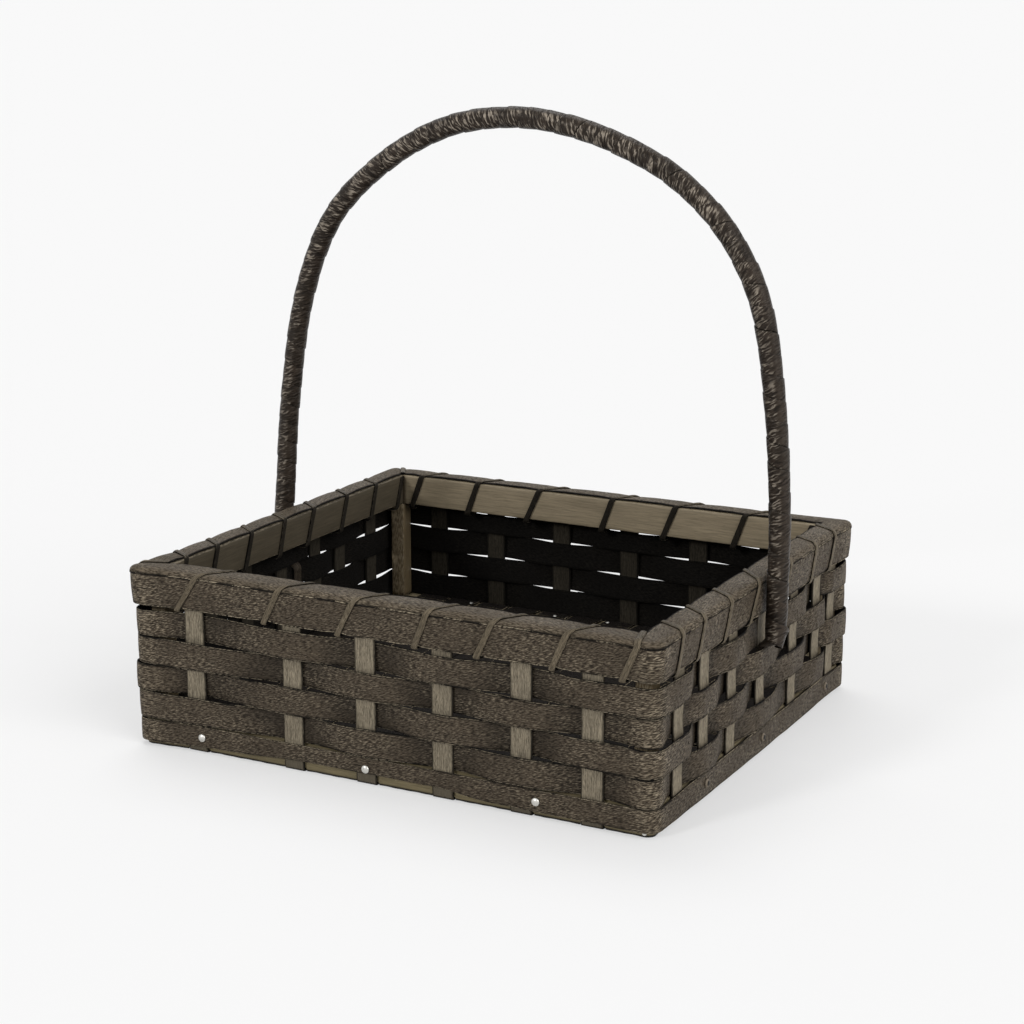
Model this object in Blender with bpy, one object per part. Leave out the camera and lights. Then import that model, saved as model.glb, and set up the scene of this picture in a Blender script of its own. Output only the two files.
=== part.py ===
"""Cane gift basket: a low square basket woven from flat strips, with a wrapped bow handle.

The front wall faces -Y, X runs along the front, and the basket stands on z = 0 round the origin.
Places on a wall are given along it, outward from the middle of its splints, and above the table.
"""

import math

import bpy
import numpy as np
from mathutils import Vector

# Whole basket, in metres
RIM_WIDTH = 0.300              # outside of the rim cap, left to right
RIM_DEPTH = 0.2668             # outside of the rim cap, front to rear
RIM_HEIGHT = 0.098             # top of the rim cap
HANDLE_HEIGHT = 0.3295         # top of the bow handle
CLEARANCE = 0.0003             # gap left between touching pieces

# Splints and weavers
SPLINT_WIDTH = 0.012
SPLINT_THICKNESS = 0.0012
SPLINT_BEND = 0.0025           # radius where a splint turns under the base
SPLINT_TOP_DROP = 0.0015       # splint ends below the top of the rim
WEAVER_THICKNESS = 0.001
WEAVER_REST = 0.0008           # flat part of a weaver past each edge of a splint
WEAVER_CORNER = 0.011          # radius at the basket's corners
ROW_GAP = 0.0007               # slit between two rows
ROW_COUNT = 4
RIM_SLOT = 0.00375             # dark slot between the top row and the rim band

# Bands round the bottom and the rim
BOTTOM_BAND_LOW = 0.0038
BOTTOM_BAND_HEIGHT = 0.0114
BOTTOM_BAND_THICKNESS = 0.0012
RIM_BAND_HEIGHT = 0.0189
RIM_BAND_THICKNESS = 0.001
RIM_BAND_FLARE = 0.0008        # how far the rim band leans out at its top
RIM_BAND_CORNER = 0.0075
RIM_WEAVER_DROP = 0.0006       # the hidden weaver shows this much below the rim band
CAP_THICKNESS = 0.0008
CAP_WIDTH = 0.015
CAP_OVERHANG = 0.0042          # outer edge of the cap past the middle of the splints
CAP_CORNER = 0.004

# Wooden frame inside the walls
BOARD_HEIGHT = 0.0184
BOARD_THICKNESS = 0.0086
BATTEN_HEIGHT = 0.018
BATTEN_THICKNESS = 0.009
POST_WIDTH = 0.0093
FRAME_CHAMFER = 0.0025         # outer upright edges, which the weavers go round

# Floor strips over the battens
FLOOR_THICKNESS = 0.0009
FLOOR_REST = 0.0015            # flat part of a strip past each edge of the one it crosses
FLOOR_WIDTH_SHARE = 0.8        # of the spacing between two strips
FLOOR_ALONG_X = 4
FLOOR_ALONG_Y = 5

# Bow handle
HANDLE_CORE_RADIUS = 0.004
WRAP_INNER_RADIUS = 0.0049
WRAP_EDGE_RADIUS = 0.0054
WRAP_CROWN_RADIUS = 0.00565
WRAP_LOOPS = 24
WRAP_GAP = 0.0008              # between two turns
WRAP_BELOW = 0.0015            # the wrap runs this far below the rim band on both legs
TONGUE_THICKNESS = 0.0024      # flattened end of the core, tucked behind a weaver
TONGUE_HALF_WIDTH = 0.0034
TONGUE_ROW = 2

# Rim binding
BINDING_WIDTH = 0.003
BINDING_THICKNESS = 0.0008
BINDING_BELOW = 0.0022         # middle of the strip below the rim band

# Nails
NAIL_HEAD_RADIUS = 0.0022
NAIL_HEAD_HEIGHT = 0.0015
NAIL_SHANK_RADIUS = 0.0008
NAIL_IN_BATTEN = 0.006
NAIL_TIP = 0.0012
NAIL_HEIGHT = 0.009

# Places of the splints, as shares of their reach from the middle: left to right, front to rear
SPLINT_SHARES = {
    "front": (-0.908, -0.434, -0.091, 0.259, 0.605, 0.908),
    "rear": (-0.919, -0.601, -0.245, 0.111, 0.463, 0.812),
    "right": (-0.936, -0.651, -0.321, 0.041, 0.472, 0.798, 1.0),
    "left": (-0.936, -0.651, -0.339, -0.018, 0.312, 0.560, 0.890),
}
# The bow stands a little askew: where each leg stands, as a share of the same reach
LEG_SHARES = {"left": 0.174, "right": 0.0}
# Each nail stands by a splint, given by its number and the share of half its width to one side
NAIL_SPLINTS = {"front": (0, 2, 4), "rear": (0, 3, 5), "right": (1, 3, 5), "left": (1, 3, 5)}
NAIL_SHARES = {"front": (0.6, 0.1, 1.5), "rear": (0, 0, 0), "right": (0.2, 0.2, 2.35), "left": (0, 0, 0)}
# Passes of the rim binding under the rim. The whole number counts the splints from the start of
# the wall, and the rest is the share of the way to the next one or to the corner.
BINDING_SHARES = {
    "front": (6.75, 5.45, 4.46, 3.67, 2.66, 1.74, 0.59),
    "rear": (0.32, 1.64, 2.57, 3.69, 4.58, 5.58, 6.65),
    "right": (6.50, 5.50, 4.50, 3.40, 2.50, 1.50, 0.41),
    "left": (0.42, 1.52, 2.50, 3.49, 4.30, 5.41, 6.50, 7.60),
}
# How a turn of the binding shares its advance: up the inside, over the cap, down the outside
BINDING_STEP_SHARES = {
    "front": (0.15, 0.40, 0.43),
    "rear": (0.15, 0.40, 0.43),
    "right": (0.20, 0.60, 0.18),
    "left": (0.20, 0.60, 0.18),
}
BINDING_END_SHARE = 0.955      # where the first and last turns run out at the corners
# Rows in which the first splint of a side lies behind its weaver: 0 for even rows, 1 for odd
FIRST_SPLINT_ROWS = {"front": 0, "right": 1, "rear": 1, "left": 1}
# Middle line of the bow above the rim: share of its half span, share of its rise
BOW_SHARES = (
    (-1.0, -0.02), (-0.990, 0.06), (-0.961, 0.27), (-0.891, 0.531), (-0.756, 0.739),
    (-0.532, 0.881), (-0.270, 0.972), (0.0, 1.0), (0.240, 0.981), (0.465, 0.930),
    (0.641, 0.863), (0.801, 0.757), (0.916, 0.607), (0.974, 0.385), (1.0, 0.15), (1.0, -0.02),
)
# Swing of a leg from its tongue to the rim: share of the way out, share of the way up
SHOULDER_SHARES = ((0.0, 0.0), (0.27, 0.225), (0.72, 0.54), (0.96, 0.81))
TURN_SHARES = (0.10, 0.37, 0.63, 0.90)     # stations of a weaver within a corner's quarter turn
BAND_TURN_SHARES = (0.0, 0.25, 0.5, 0.75, 1.0)

# Fineness of round pieces
CORE_SIDES = 10
CORE_STEP = 0.011              # spacing of the core's sections
WRAP_STATIONS = 10             # sections a turn
NAIL_SIDES = 8
CURVE_STEPS = 40               # fine points between two points of the bow

# Places worked out from the sizes above
QUARTER = math.pi / 2
SIDES = ("front", "right", "rear", "left")
X_AXIS = Vector((1, 0, 0))
Y_AXIS = Vector((0, 1, 0))
Z_AXIS = Vector((0, 0, 1))
WALL_X = RIM_WIDTH / 2 - CAP_OVERHANG
WALL_Y = RIM_DEPTH / 2 - CAP_OVERHANG
WALL_HALF = {"front": WALL_X, "rear": WALL_X, "right": WALL_Y, "left": WALL_Y}
SPLINT_FACE = SPLINT_THICKNESS / 2 + CLEARANCE
WEAVE_OFFSET = SPLINT_FACE + WEAVER_THICKNESS / 2
WEAVE_FACE = WEAVE_OFFSET + WEAVER_THICKNESS / 2 + CLEARANCE
BOTTOM_BAND_TOP = BOTTOM_BAND_LOW + BOTTOM_BAND_HEIGHT
CAP_LOW = RIM_HEIGHT - CAP_THICKNESS
RIM_TOP = CAP_LOW - CLEARANCE
RIM_BAND_LOW = RIM_TOP - RIM_BAND_HEIGHT
ROWS_LOW = BOTTOM_BAND_TOP + CLEARANCE
WEAVER_HEIGHT = (RIM_BAND_LOW - RIM_SLOT - ROWS_LOW + ROW_GAP) / ROW_COUNT - ROW_GAP
SPLINT_MARGIN = WEAVE_FACE + BATTEN_THICKNESS + SPLINT_WIDTH / 2 + 2 * FLOOR_REST
BOARD_LOW = RIM_TOP - BOARD_HEIGHT
SPLINT_TOP = RIM_TOP - SPLINT_TOP_DROP
BATTEN_LOW = SPLINT_THICKNESS + CLEARANCE
BATTEN_TOP = BATTEN_LOW + BATTEN_HEIGHT
TONGUE_OUT = SPLINT_FACE + TONGUE_THICKNESS / 2
TONGUE_BULGE = SPLINT_FACE + TONGUE_THICKNESS + CLEARANCE + WEAVER_THICKNESS / 2
BOW_HALF_SPAN = RIM_WIDTH / 2 + CLEARANCE + WRAP_CROWN_RADIUS
BOW_CROWN = HANDLE_HEIGHT - WRAP_CROWN_RADIUS
NAIL_SEAT = SPLINT_FACE + BOTTOM_BAND_THICKNESS + CLEARANCE
NAIL_LENGTH = NAIL_SEAT + WEAVE_FACE + NAIL_IN_BATTEN
HOLE_RADIUS = NAIL_SHANK_RADIUS + CLEARANCE


def clear_scene():
    for old in list(bpy.data.objects):
        bpy.data.objects.remove(old, do_unlink=True)


def make_material(name, colour, roughness, metallic=0.0):
    material = bpy.data.materials.new(name)
    material.use_nodes = True
    shader = material.node_tree.nodes["Principled BSDF"]
    shader.inputs["Base Color"].default_value = (*colour, 1.0)
    shader.inputs["Roughness"].default_value = roughness
    shader.inputs["Metallic"].default_value = metallic
    material.diffuse_color = (*colour, 1.0)
    return material


def skin_mesh(name, sections, closed=False):
    """Mesh that joins sections of equal point counts; an open one gets a cap at each end."""
    count = len(sections[0])
    points = [tuple(point) for section in sections for point in section]
    faces = []
    spans = len(sections) if closed else len(sections) - 1
    for span in range(spans):
        here = span * count
        there = (span + 1) % len(sections) * count
        for corner in range(count):
            following = (corner + 1) % count
            faces.append((here + corner, here + following, there + following, there + corner))
    if not closed:
        faces.append(tuple(reversed(range(count))))
        faces.append(tuple(range(len(points) - count, len(points))))
    mesh = bpy.data.meshes.new(name)
    mesh.from_pydata(points, [], faces)
    if signed_volume(mesh) < 0:
        mesh.flip_normals()
    return mesh


def signed_volume(mesh):
    total = 0.0
    for face in mesh.polygons:
        corners = [mesh.vertices[index].co for index in face.vertices]
        for second, third in zip(corners[1:], corners[2:]):
            total += corners[0].dot(second.cross(third))
    return total


def add_piece(name, mesh, material, smooth_angle=None):
    """Object for one sub-part, with its own copy of the given finish."""
    if not mesh.materials:
        mesh.materials.append(material)
    if smooth_angle is not None:
        mesh.shade_smooth()
        mesh.set_sharp_from_angle(angle=smooth_angle)
    piece = bpy.data.objects.new(name, mesh)
    bpy.context.scene.collection.objects.link(piece)
    piece.parent = bpy.data.objects["basket"]
    return piece


def strip_sections(points, across, width, thickness, closed=False):
    """Sections of a flat strip whose width lies along one direction all the way, with mitred bends."""
    sections = []
    last = len(points) - 1
    for index, point in enumerate(points):
        before = point - points[index - 1] if index > 0 or closed else points[1] - point
        after = points[(index + 1) % len(points)] - point if index < last or closed else before
        normal_before = across.cross(before).normalized()
        normal_after = across.cross(after).normalized()
        normal = (normal_before + normal_after).normalized()
        reach = normal * thickness / 2 / normal.dot(normal_before)
        side = across * width / 2
        sections.append((point + side + reach, point + side - reach,
                         point - side - reach, point - side + reach))
    return sections


def wall_point(side, along, out, height):
    """Point on a wall: along it, outward from the middle of its splints, above the table."""
    if side == "front":
        return Vector((along, -WALL_Y - out, height))
    if side == "rear":
        return Vector((along, WALL_Y + out, height))
    if side == "right":
        return Vector((WALL_X + out, along, height))
    return Vector((-WALL_X - out, along, height))


def corner_arc(side, out, radius, height, shares):
    """Stations round the corner that follows a side, as the hoops go: front, right, rear, left."""
    turn = SIDES.index(side)
    x_sign = (1, 1, -1, -1)[turn]
    y_sign = (-1, 1, 1, -1)[turn]
    centre = Vector((x_sign * (WALL_X + out - radius), y_sign * (WALL_Y + out - radius), height))
    arc = []
    for share in shares:
        angle = (turn - 1 + share) * QUARTER
        arc.append(centre + radius * Vector((math.cos(angle), math.sin(angle), 0)))
    return arc


def hoop(out, radius, height, shares=BAND_TURN_SHARES):
    """Closed path parallel to the four walls."""
    points = []
    for side in SIDES:
        points += corner_arc(side, out, radius, height, shares)
    return points


def splint_reach(side):
    """Farthest place of a splint from the middle of its wall, clear of the battens' ends."""
    return WALL_HALF[side] - SPLINT_MARGIN


def splint_places(side):
    return [share * splint_reach(side) for share in SPLINT_SHARES[side]]


def place_between(side, share):
    """Place on a wall counted in splints, from the corner at its start."""
    corner = WALL_HALF[side] - WEAVER_CORNER
    stops = [-corner] + splint_places(side) + [corner]
    slot = min(int(share), len(stops) - 2)
    return stops[slot] + (stops[slot + 1] - stops[slot]) * (share - slot)


def handle_y(x):
    """Where the upright plane of the bow passes, for a place along X."""
    left, right = [LEG_SHARES[side] * splint_reach(side) for side in ("left", "right")]
    return (left + right) / 2 + (right - left) * x / (2 * BOW_HALF_SPAN)


def row_low(row):
    """Lower edge of a weaver; row 1 is the highest."""
    return ROWS_LOW + (ROW_COUNT - row) * (WEAVER_HEIGHT + ROW_GAP)


def weaver_places(side, row):
    """Where a weaver passes the splints of one side: along the wall, and outward."""
    rest = SPLINT_WIDTH / 2 + WEAVER_REST
    places = []
    for index, middle in enumerate(splint_places(side)):
        outside = (row + index + FIRST_SPLINT_ROWS[side]) % 2 == 0
        out = WEAVE_OFFSET if outside else -WEAVE_OFFSET
        places.append((middle - rest, out))
        places.append((middle + rest, out))
    if row == TONGUE_ROW and side in ("left", "right"):
        middle = handle_y(math.copysign(WALL_X + TONGUE_OUT, -1 if side == "left" else 1))
        bulge = TONGUE_HALF_WIDTH + WEAVER_REST
        places = [place for place in places if abs(place[0] - middle) > bulge]
        places.append((middle - bulge, TONGUE_BULGE))
        places.append((middle + bulge, TONGUE_BULGE))
        places.sort()
    if side in ("rear", "left"):
        places.reverse()
    return places


def make_weaver(name, row, low, material):
    """One row: a strip that goes in and out past the splints and outside the corners."""
    height = low + WEAVER_HEIGHT / 2
    points = []
    for side in SIDES:
        points += [wall_point(side, along, out, height) for along, out in weaver_places(side, row)]
        points += corner_arc(side, WEAVE_OFFSET, WEAVER_CORNER, height, TURN_SHARES)
    sections = strip_sections(points, Z_AXIS, WEAVER_HEIGHT, WEAVER_THICKNESS, closed=True)
    add_piece(name, skin_mesh(name, sections, closed=True), material)


def make_weavers(material):
    make_weaver("weaver_rim", 0, RIM_BAND_LOW - RIM_WEAVER_DROP, material)
    for row in range(1, ROW_COUNT + 1):
        make_weaver(f"weaver_{row}", row, row_low(row), material)


def splint_ends(family, index):
    """Where a splint stands on its two walls."""
    first, second = ("front", "rear") if family == "front_rear" else ("left", "right")
    return splint_places(first)[index], splint_places(second)[index]


def splint_across(family, index, run):
    """Place across its run of a splint under the base, at a place along its run."""
    start, end = splint_ends(family, index)
    half = WALL_Y if family == "front_rear" else WALL_X
    return start + (end - start) * (run + half) / (2 * half)


def crossing(long_index, cross_index):
    """Where a front to rear splint meets a left to right one under the base."""
    front, rear = splint_ends("front_rear", long_index)
    left, right = splint_ends("left_right", cross_index)
    lean_x = (rear - front) / (2 * WALL_Y)
    lean_y = (right - left) / (2 * WALL_X)
    middle_x = (front + rear) / 2
    middle_y = (left + right) / 2
    y = (middle_y + lean_y * middle_x) / (1 - lean_x * lean_y)
    return middle_x + lean_x * y, y


def splint_path(family, index):
    """Middle line of a U-shaped splint: down a wall, in and out under the base, and up again."""
    long_way = family == "front_rear"
    half = WALL_Y if long_way else WALL_X
    others = len(SPLINT_SHARES["right"]) if long_way else len(SPLINT_SHARES["front"])
    low = SPLINT_THICKNESS / 2
    high = low + SPLINT_THICKNESS + CLEARANCE
    rest = SPLINT_WIDTH / 2 + FLOOR_REST
    run_heights = [(-half, SPLINT_TOP), (-half, low + SPLINT_BEND)]
    run_heights.append((-half + SPLINT_BEND * (1 - math.cos(QUARTER / 2)),
                        low + SPLINT_BEND * (1 - math.sin(QUARTER / 2))))
    run_heights.append((-half + SPLINT_BEND, low))
    run_heights.append((-half + WEAVE_FACE + BATTEN_THICKNESS + FLOOR_REST, low))
    for other in range(others):
        place = crossing(index, other) if long_way else crossing(other, index)
        run = place[1] if long_way else place[0]
        raised = (index + other) % 2 == (0 if long_way else 1)
        height = high if raised else low
        run_heights += [(run - rest, height), (run + rest, height)]
    run_heights += [(-run, height) for run, height in reversed(run_heights[:5])]
    points = []
    for run, height in run_heights:
        across = splint_across(family, index, run)
        points.append(Vector((across, run, height) if long_way else (run, across, height)))
    return points


def make_splints(material, cutters):
    for family, across in (("front_rear", X_AXIS), ("left_right", Y_AXIS)):
        walls = ("front", "rear") if family == "front_rear" else ("left", "right")
        for index in range(len(SPLINT_SHARES[walls[0]])):
            name = f"splint_{family}_{index + 1}"
            sections = strip_sections(splint_path(family, index), across, SPLINT_WIDTH,
                                      SPLINT_THICKNESS)
            piece = add_piece(name, skin_mesh(name, sections), material)
            for wall, place in zip(walls, splint_ends(family, index)):
                if nail_is_near(wall, place):
                    drill(piece, cutters[wall])


def nail_places(side):
    middles = splint_places(side)
    return [middles[index] + share * SPLINT_WIDTH / 2
            for index, share in zip(NAIL_SPLINTS[side], NAIL_SHARES[side])]


def nail_is_near(side, place):
    reach = SPLINT_WIDTH / 2 + HOLE_RADIUS
    return any(abs(nail - place) < reach for nail in nail_places(side))


def ring_sections(outer, inner, low, high):
    """Sections of a flat ring between two closed paths of equal point counts."""
    sections = []
    for far, near in zip(outer, inner):
        sections.append((Vector((far.x, far.y, high)), Vector((far.x, far.y, low)),
                         Vector((near.x, near.y, low)), Vector((near.x, near.y, high))))
    return sections


def make_bands(material, cutters):
    """Bottom band, rim band that leans out towards its top, and flat rim cap."""
    inner = hoop(SPLINT_FACE, WEAVER_CORNER, 0)
    outer = hoop(SPLINT_FACE + BOTTOM_BAND_THICKNESS, WEAVER_CORNER + BOTTOM_BAND_THICKNESS, 0)
    sections = ring_sections(outer, inner, BOTTOM_BAND_LOW, BOTTOM_BAND_TOP)
    band = add_piece("bottom_band", skin_mesh("bottom_band", sections, closed=True), material)
    for side in SIDES:
        drill(band, cutters[side])

    lean = (0, RIM_BAND_FLARE)
    inner_low, inner_high = [hoop(WEAVE_FACE + out, RIM_BAND_CORNER, 0) for out in lean]
    thick = WEAVE_FACE + RIM_BAND_THICKNESS
    outer_low, outer_high = [hoop(thick + out, RIM_BAND_CORNER + RIM_BAND_THICKNESS, 0)
                             for out in lean]
    sections = []
    for corners in zip(outer_high, outer_low, inner_low, inner_high):
        heights = (RIM_TOP, RIM_BAND_LOW, RIM_BAND_LOW, RIM_TOP)
        sections.append([Vector((point.x, point.y, height))
                         for point, height in zip(corners, heights)])
    add_piece("rim_band", skin_mesh("rim_band", sections, closed=True), material)

    inside = CAP_OVERHANG - CAP_WIDTH
    sections = ring_sections(hoop(CAP_OVERHANG, CAP_CORNER, 0), hoop(inside, CAP_THICKNESS, 0),
                             CAP_LOW, RIM_HEIGHT)
    add_piece("rim_cap", skin_mesh("rim_cap", sections, closed=True), material)


def prism_mesh(name, outline, low, high):
    """Upright block over an outline in plan."""
    sections = [[Vector((x, y, height)) for x, y in outline] for height in (low, high)]
    return skin_mesh(name, sections)


def frame_outline(side, thickness):
    """Plan of a board or batten: the left and right ones run full length and have cut corners."""
    outer_x = WALL_X - WEAVE_FACE
    outer_y = WALL_Y - WEAVE_FACE
    if side in ("front", "rear"):
        sign = -1 if side == "front" else 1
        reach = outer_x - thickness - CLEARANCE
        return [(-reach, sign * (outer_y - thickness)), (reach, sign * (outer_y - thickness)),
                (reach, sign * outer_y), (-reach, sign * outer_y)]
    sign = -1 if side == "left" else 1
    cut_x = sign * (outer_x - FRAME_CHAMFER)
    cut_y = outer_y - FRAME_CHAMFER
    inner = sign * (outer_x - thickness)
    return [(inner, -outer_y), (cut_x, -outer_y), (sign * outer_x, -cut_y),
            (sign * outer_x, cut_y), (cut_x, outer_y), (inner, outer_y)]


def make_frame(board_material, batten_material, post_material, cutters):
    """Inner rim boards, base battens and the corner posts between them."""
    for side in SIDES:
        name = f"rim_board_{side}"
        outline = frame_outline(side, BOARD_THICKNESS)
        add_piece(name, prism_mesh(name, outline, BOARD_LOW, RIM_TOP), board_material)
        name = f"base_batten_{side}"
        outline = frame_outline(side, BATTEN_THICKNESS)
        piece = add_piece(name, prism_mesh(name, outline, BATTEN_LOW, BATTEN_TOP), batten_material)
        drill(piece, cutters[side])
    half = POST_WIDTH / 2
    cut = half - FRAME_CHAMFER
    height = BOARD_LOW - BATTEN_TOP - 2 * CLEARANCE
    outline = [(-half, -half), (half, -half), (half, cut), (cut, half), (-half, half)]
    mesh = prism_mesh("corner_post", outline, 0, height)
    corners = (("rear_right", 1, 1), ("rear_left", -1, 1), ("front_left", -1, -1),
               ("front_right", 1, -1))
    for turn, (corner, x_sign, y_sign) in enumerate(corners):
        post = add_piece(f"corner_post_{corner}", mesh, post_material)
        post.location = (x_sign * (WALL_X - WEAVE_FACE - half), y_sign * (WALL_Y - WEAVE_FACE - half),
                         BATTEN_TOP + CLEARANCE)
        post.rotation_euler = (0, 0, turn * QUARTER)


def make_floor(material):
    """Wide strips woven over the battens, between the corner posts."""
    low = BATTEN_TOP + CLEARANCE + FLOOR_THICKNESS / 2
    high = low + FLOOR_THICKNESS + CLEARANCE
    inner_x = WALL_X - WEAVE_FACE - BATTEN_THICKNESS
    inner_y = WALL_Y - WEAVE_FACE - BATTEN_THICKNESS
    pitch_along_x = 2 * inner_y / FLOOR_ALONG_X
    pitch_along_y = 2 * inner_x / FLOOR_ALONG_Y
    reach_x = WALL_X - WEAVE_FACE - FLOOR_REST
    reach_y = WALL_Y - WEAVE_FACE - FLOOR_REST
    kinds = (("x", Y_AXIS, FLOOR_ALONG_X, FLOOR_ALONG_Y, pitch_along_x, pitch_along_y, reach_x, 0),
             ("y", X_AXIS, FLOOR_ALONG_Y, FLOOR_ALONG_X, pitch_along_y, pitch_along_x, reach_y, 1))
    for letter, across, count, crossed, pitch, cross_pitch, reach, parity in kinds:
        rest = cross_pitch * FLOOR_WIDTH_SHARE / 2 + FLOOR_REST
        for index in range(count):
            offset = (index - (count - 1) / 2) * pitch
            places = [(-reach, low)]
            for other in range(crossed):
                middle = (other - (crossed - 1) / 2) * cross_pitch
                height = high if (index + other) % 2 == parity else low
                places += [(middle - rest, height), (middle + rest, height)]
            places.append((reach, low))
            points = [Vector((run, offset, height) if letter == "x" else (offset, run, height))
                      for run, height in places]
            name = f"floor_strip_{letter}_{index + 1}"
            sections = strip_sections(points, across, pitch * FLOOR_WIDTH_SHARE, FLOOR_THICKNESS)
            add_piece(name, skin_mesh(name, sections), material)


def smooth_path(knots):
    """Fine points on a Catmull-Rom curve through the knots, in any number of dimensions."""
    knots = np.array(knots)
    ends = np.vstack((2 * knots[0] - knots[1], knots, 2 * knots[-1] - knots[-2]))
    fine = []
    for index in range(1, len(ends) - 2):
        before, start, end, after = ends[index - 1:index + 3]
        for step in range(CURVE_STEPS):
            t = step / CURVE_STEPS
            fine.append(0.5 * (2 * start + (end - before) * t
                               + (2 * before - 5 * start + 4 * end - after) * t ** 2
                               + (3 * start - before - 3 * end + after) * t ** 3))
    fine.append(ends[-2])
    return np.array(fine)


def bow_knots():
    """Knots of the handle core: x, height, half thickness, half width."""
    row_high = row_low(TONGUE_ROW) + WEAVER_HEIGHT
    tip = row_low(TONGUE_ROW) + WEAVER_REST
    shoulder = row_high + WEAVER_REST
    tongue_x = WALL_X + TONGUE_OUT
    thin = TONGUE_THICKNESS / 2
    knots = [(tongue_x, tip, thin, TONGUE_HALF_WIDTH),
             (tongue_x, (tip + 2 * row_high) / 3, thin, TONGUE_HALF_WIDTH)]
    for out, up in SHOULDER_SHARES:
        knots.append((tongue_x + (BOW_HALF_SPAN - tongue_x) * out,
                      shoulder + (RIM_BAND_LOW - shoulder) * up,
                      thin + (HANDLE_CORE_RADIUS - thin) * out,
                      TONGUE_HALF_WIDTH + (HANDLE_CORE_RADIUS - TONGUE_HALF_WIDTH) * out))
    left = [(-x, height, *halves) for x, height, *halves in knots]
    right = list(reversed(knots))
    rise = BOW_CROWN - RIM_HEIGHT
    bow = [(BOW_HALF_SPAN * across, RIM_HEIGHT + rise * up, HANDLE_CORE_RADIUS, HANDLE_CORE_RADIUS)
           for across, up in BOW_SHARES]
    return left + bow + right


class Bow:
    """Middle line of the handle, read by the distance along it."""

    def __init__(self):
        fine = smooth_path(bow_knots())
        self.places = np.column_stack((fine[:, 0], handle_y(fine[:, 0]), fine[:, 1]))
        self.halves = fine[:, 2:]
        steps = np.linalg.norm(np.diff(self.places, axis=0), axis=1)
        self.runs = np.concatenate(((0.0,), np.cumsum(steps)))
        self.knot_runs = self.runs[::CURVE_STEPS]
        across = self.places[-1] - self.places[0]
        self.flat = Vector((-across[1], across[0], 0)).normalized()

    def at(self, run):
        """Place, direction towards the outside of the bow, and half sizes."""
        place = Vector([np.interp(run, self.runs, self.places[:, axis]) for axis in range(3)])
        index = min(max(int(np.searchsorted(self.runs, run)), 1), len(self.runs) - 1)
        ahead = Vector(self.places[index] - self.places[index - 1]).normalized()
        halves = [float(np.interp(run, self.runs, self.halves[:, axis])) for axis in range(2)]
        return place, ahead.cross(self.flat), halves

    def surface(self, run, angle, radius):
        place, outward, _ = self.at(run)
        return place + radius * (math.cos(angle) * outward + math.sin(angle) * self.flat)


def make_handle_core(bow, material):
    leg = len(SHOULDER_SHARES) + 1
    left_leg = bow.knot_runs[:leg]
    right_leg = bow.knot_runs[-leg:]
    start = bow.knot_runs[leg]
    end = bow.knot_runs[-leg - 1]
    arch = np.linspace(start, end, round((end - start) / CORE_STEP))
    sections = []
    for run in np.concatenate((left_leg, arch, right_leg)):
        place, outward, (thin, wide) = bow.at(run)
        ring = []
        for corner in range(CORE_SIDES):
            angle = 2 * math.pi * (corner + 0.5) / CORE_SIDES
            ring.append(place + thin * math.cos(angle) * outward + wide * math.sin(angle) * bow.flat)
        sections.append(ring)
    mesh = skin_mesh("handle_core", sections)
    add_piece("handle_core", mesh, material, smooth_angle=QUARTER / 2)


def least_gap(sections, turn):
    """Least distance between the points of a winding and those about one turn further on."""
    points = np.array([[tuple(point) for point in section] for section in sections])
    least = math.inf
    for index in range(len(points) - turn):
        near = points[max(index + turn - 2, 0):index + turn + 3].reshape(-1, 3)
        gaps = np.linalg.norm(points[index][:, None] - near[None], axis=2)
        least = min(least, gaps.min())
    return least


def make_handle_wrap(bow, material):
    """One flat strip wound round the core, edge to edge, with a slightly raised middle."""
    wrapped = bow.runs[bow.places[:, 2] > RIM_BAND_LOW - WRAP_BELOW]
    start = wrapped.min()
    length = wrapped.max() - start
    pitch = (length + WRAP_GAP) / (WRAP_LOOPS + 1)
    half = (pitch - WRAP_GAP) / 2
    sections = []
    for index in range(WRAP_LOOPS * WRAP_STATIONS + 1):
        turns = index / WRAP_STATIONS
        angle = 2 * math.pi * turns
        middle = start + half + pitch * turns
        sections.append((bow.surface(middle - half, angle, WRAP_EDGE_RADIUS),
                         bow.surface(middle, angle, WRAP_CROWN_RADIUS),
                         bow.surface(middle + half, angle, WRAP_EDGE_RADIUS),
                         bow.surface(middle + half, angle, WRAP_INNER_RADIUS),
                         bow.surface(middle, angle, WRAP_INNER_RADIUS),
                         bow.surface(middle - half, angle, WRAP_INNER_RADIUS)))
    mesh = skin_mesh("handle_wrap", sections)
    add_piece("handle_wrap", mesh, material, smooth_angle=QUARTER / 2)
    print("handle_wrap least gap to itself, mm:", least_gap(sections, WRAP_STATIONS) * 1000)


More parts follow.
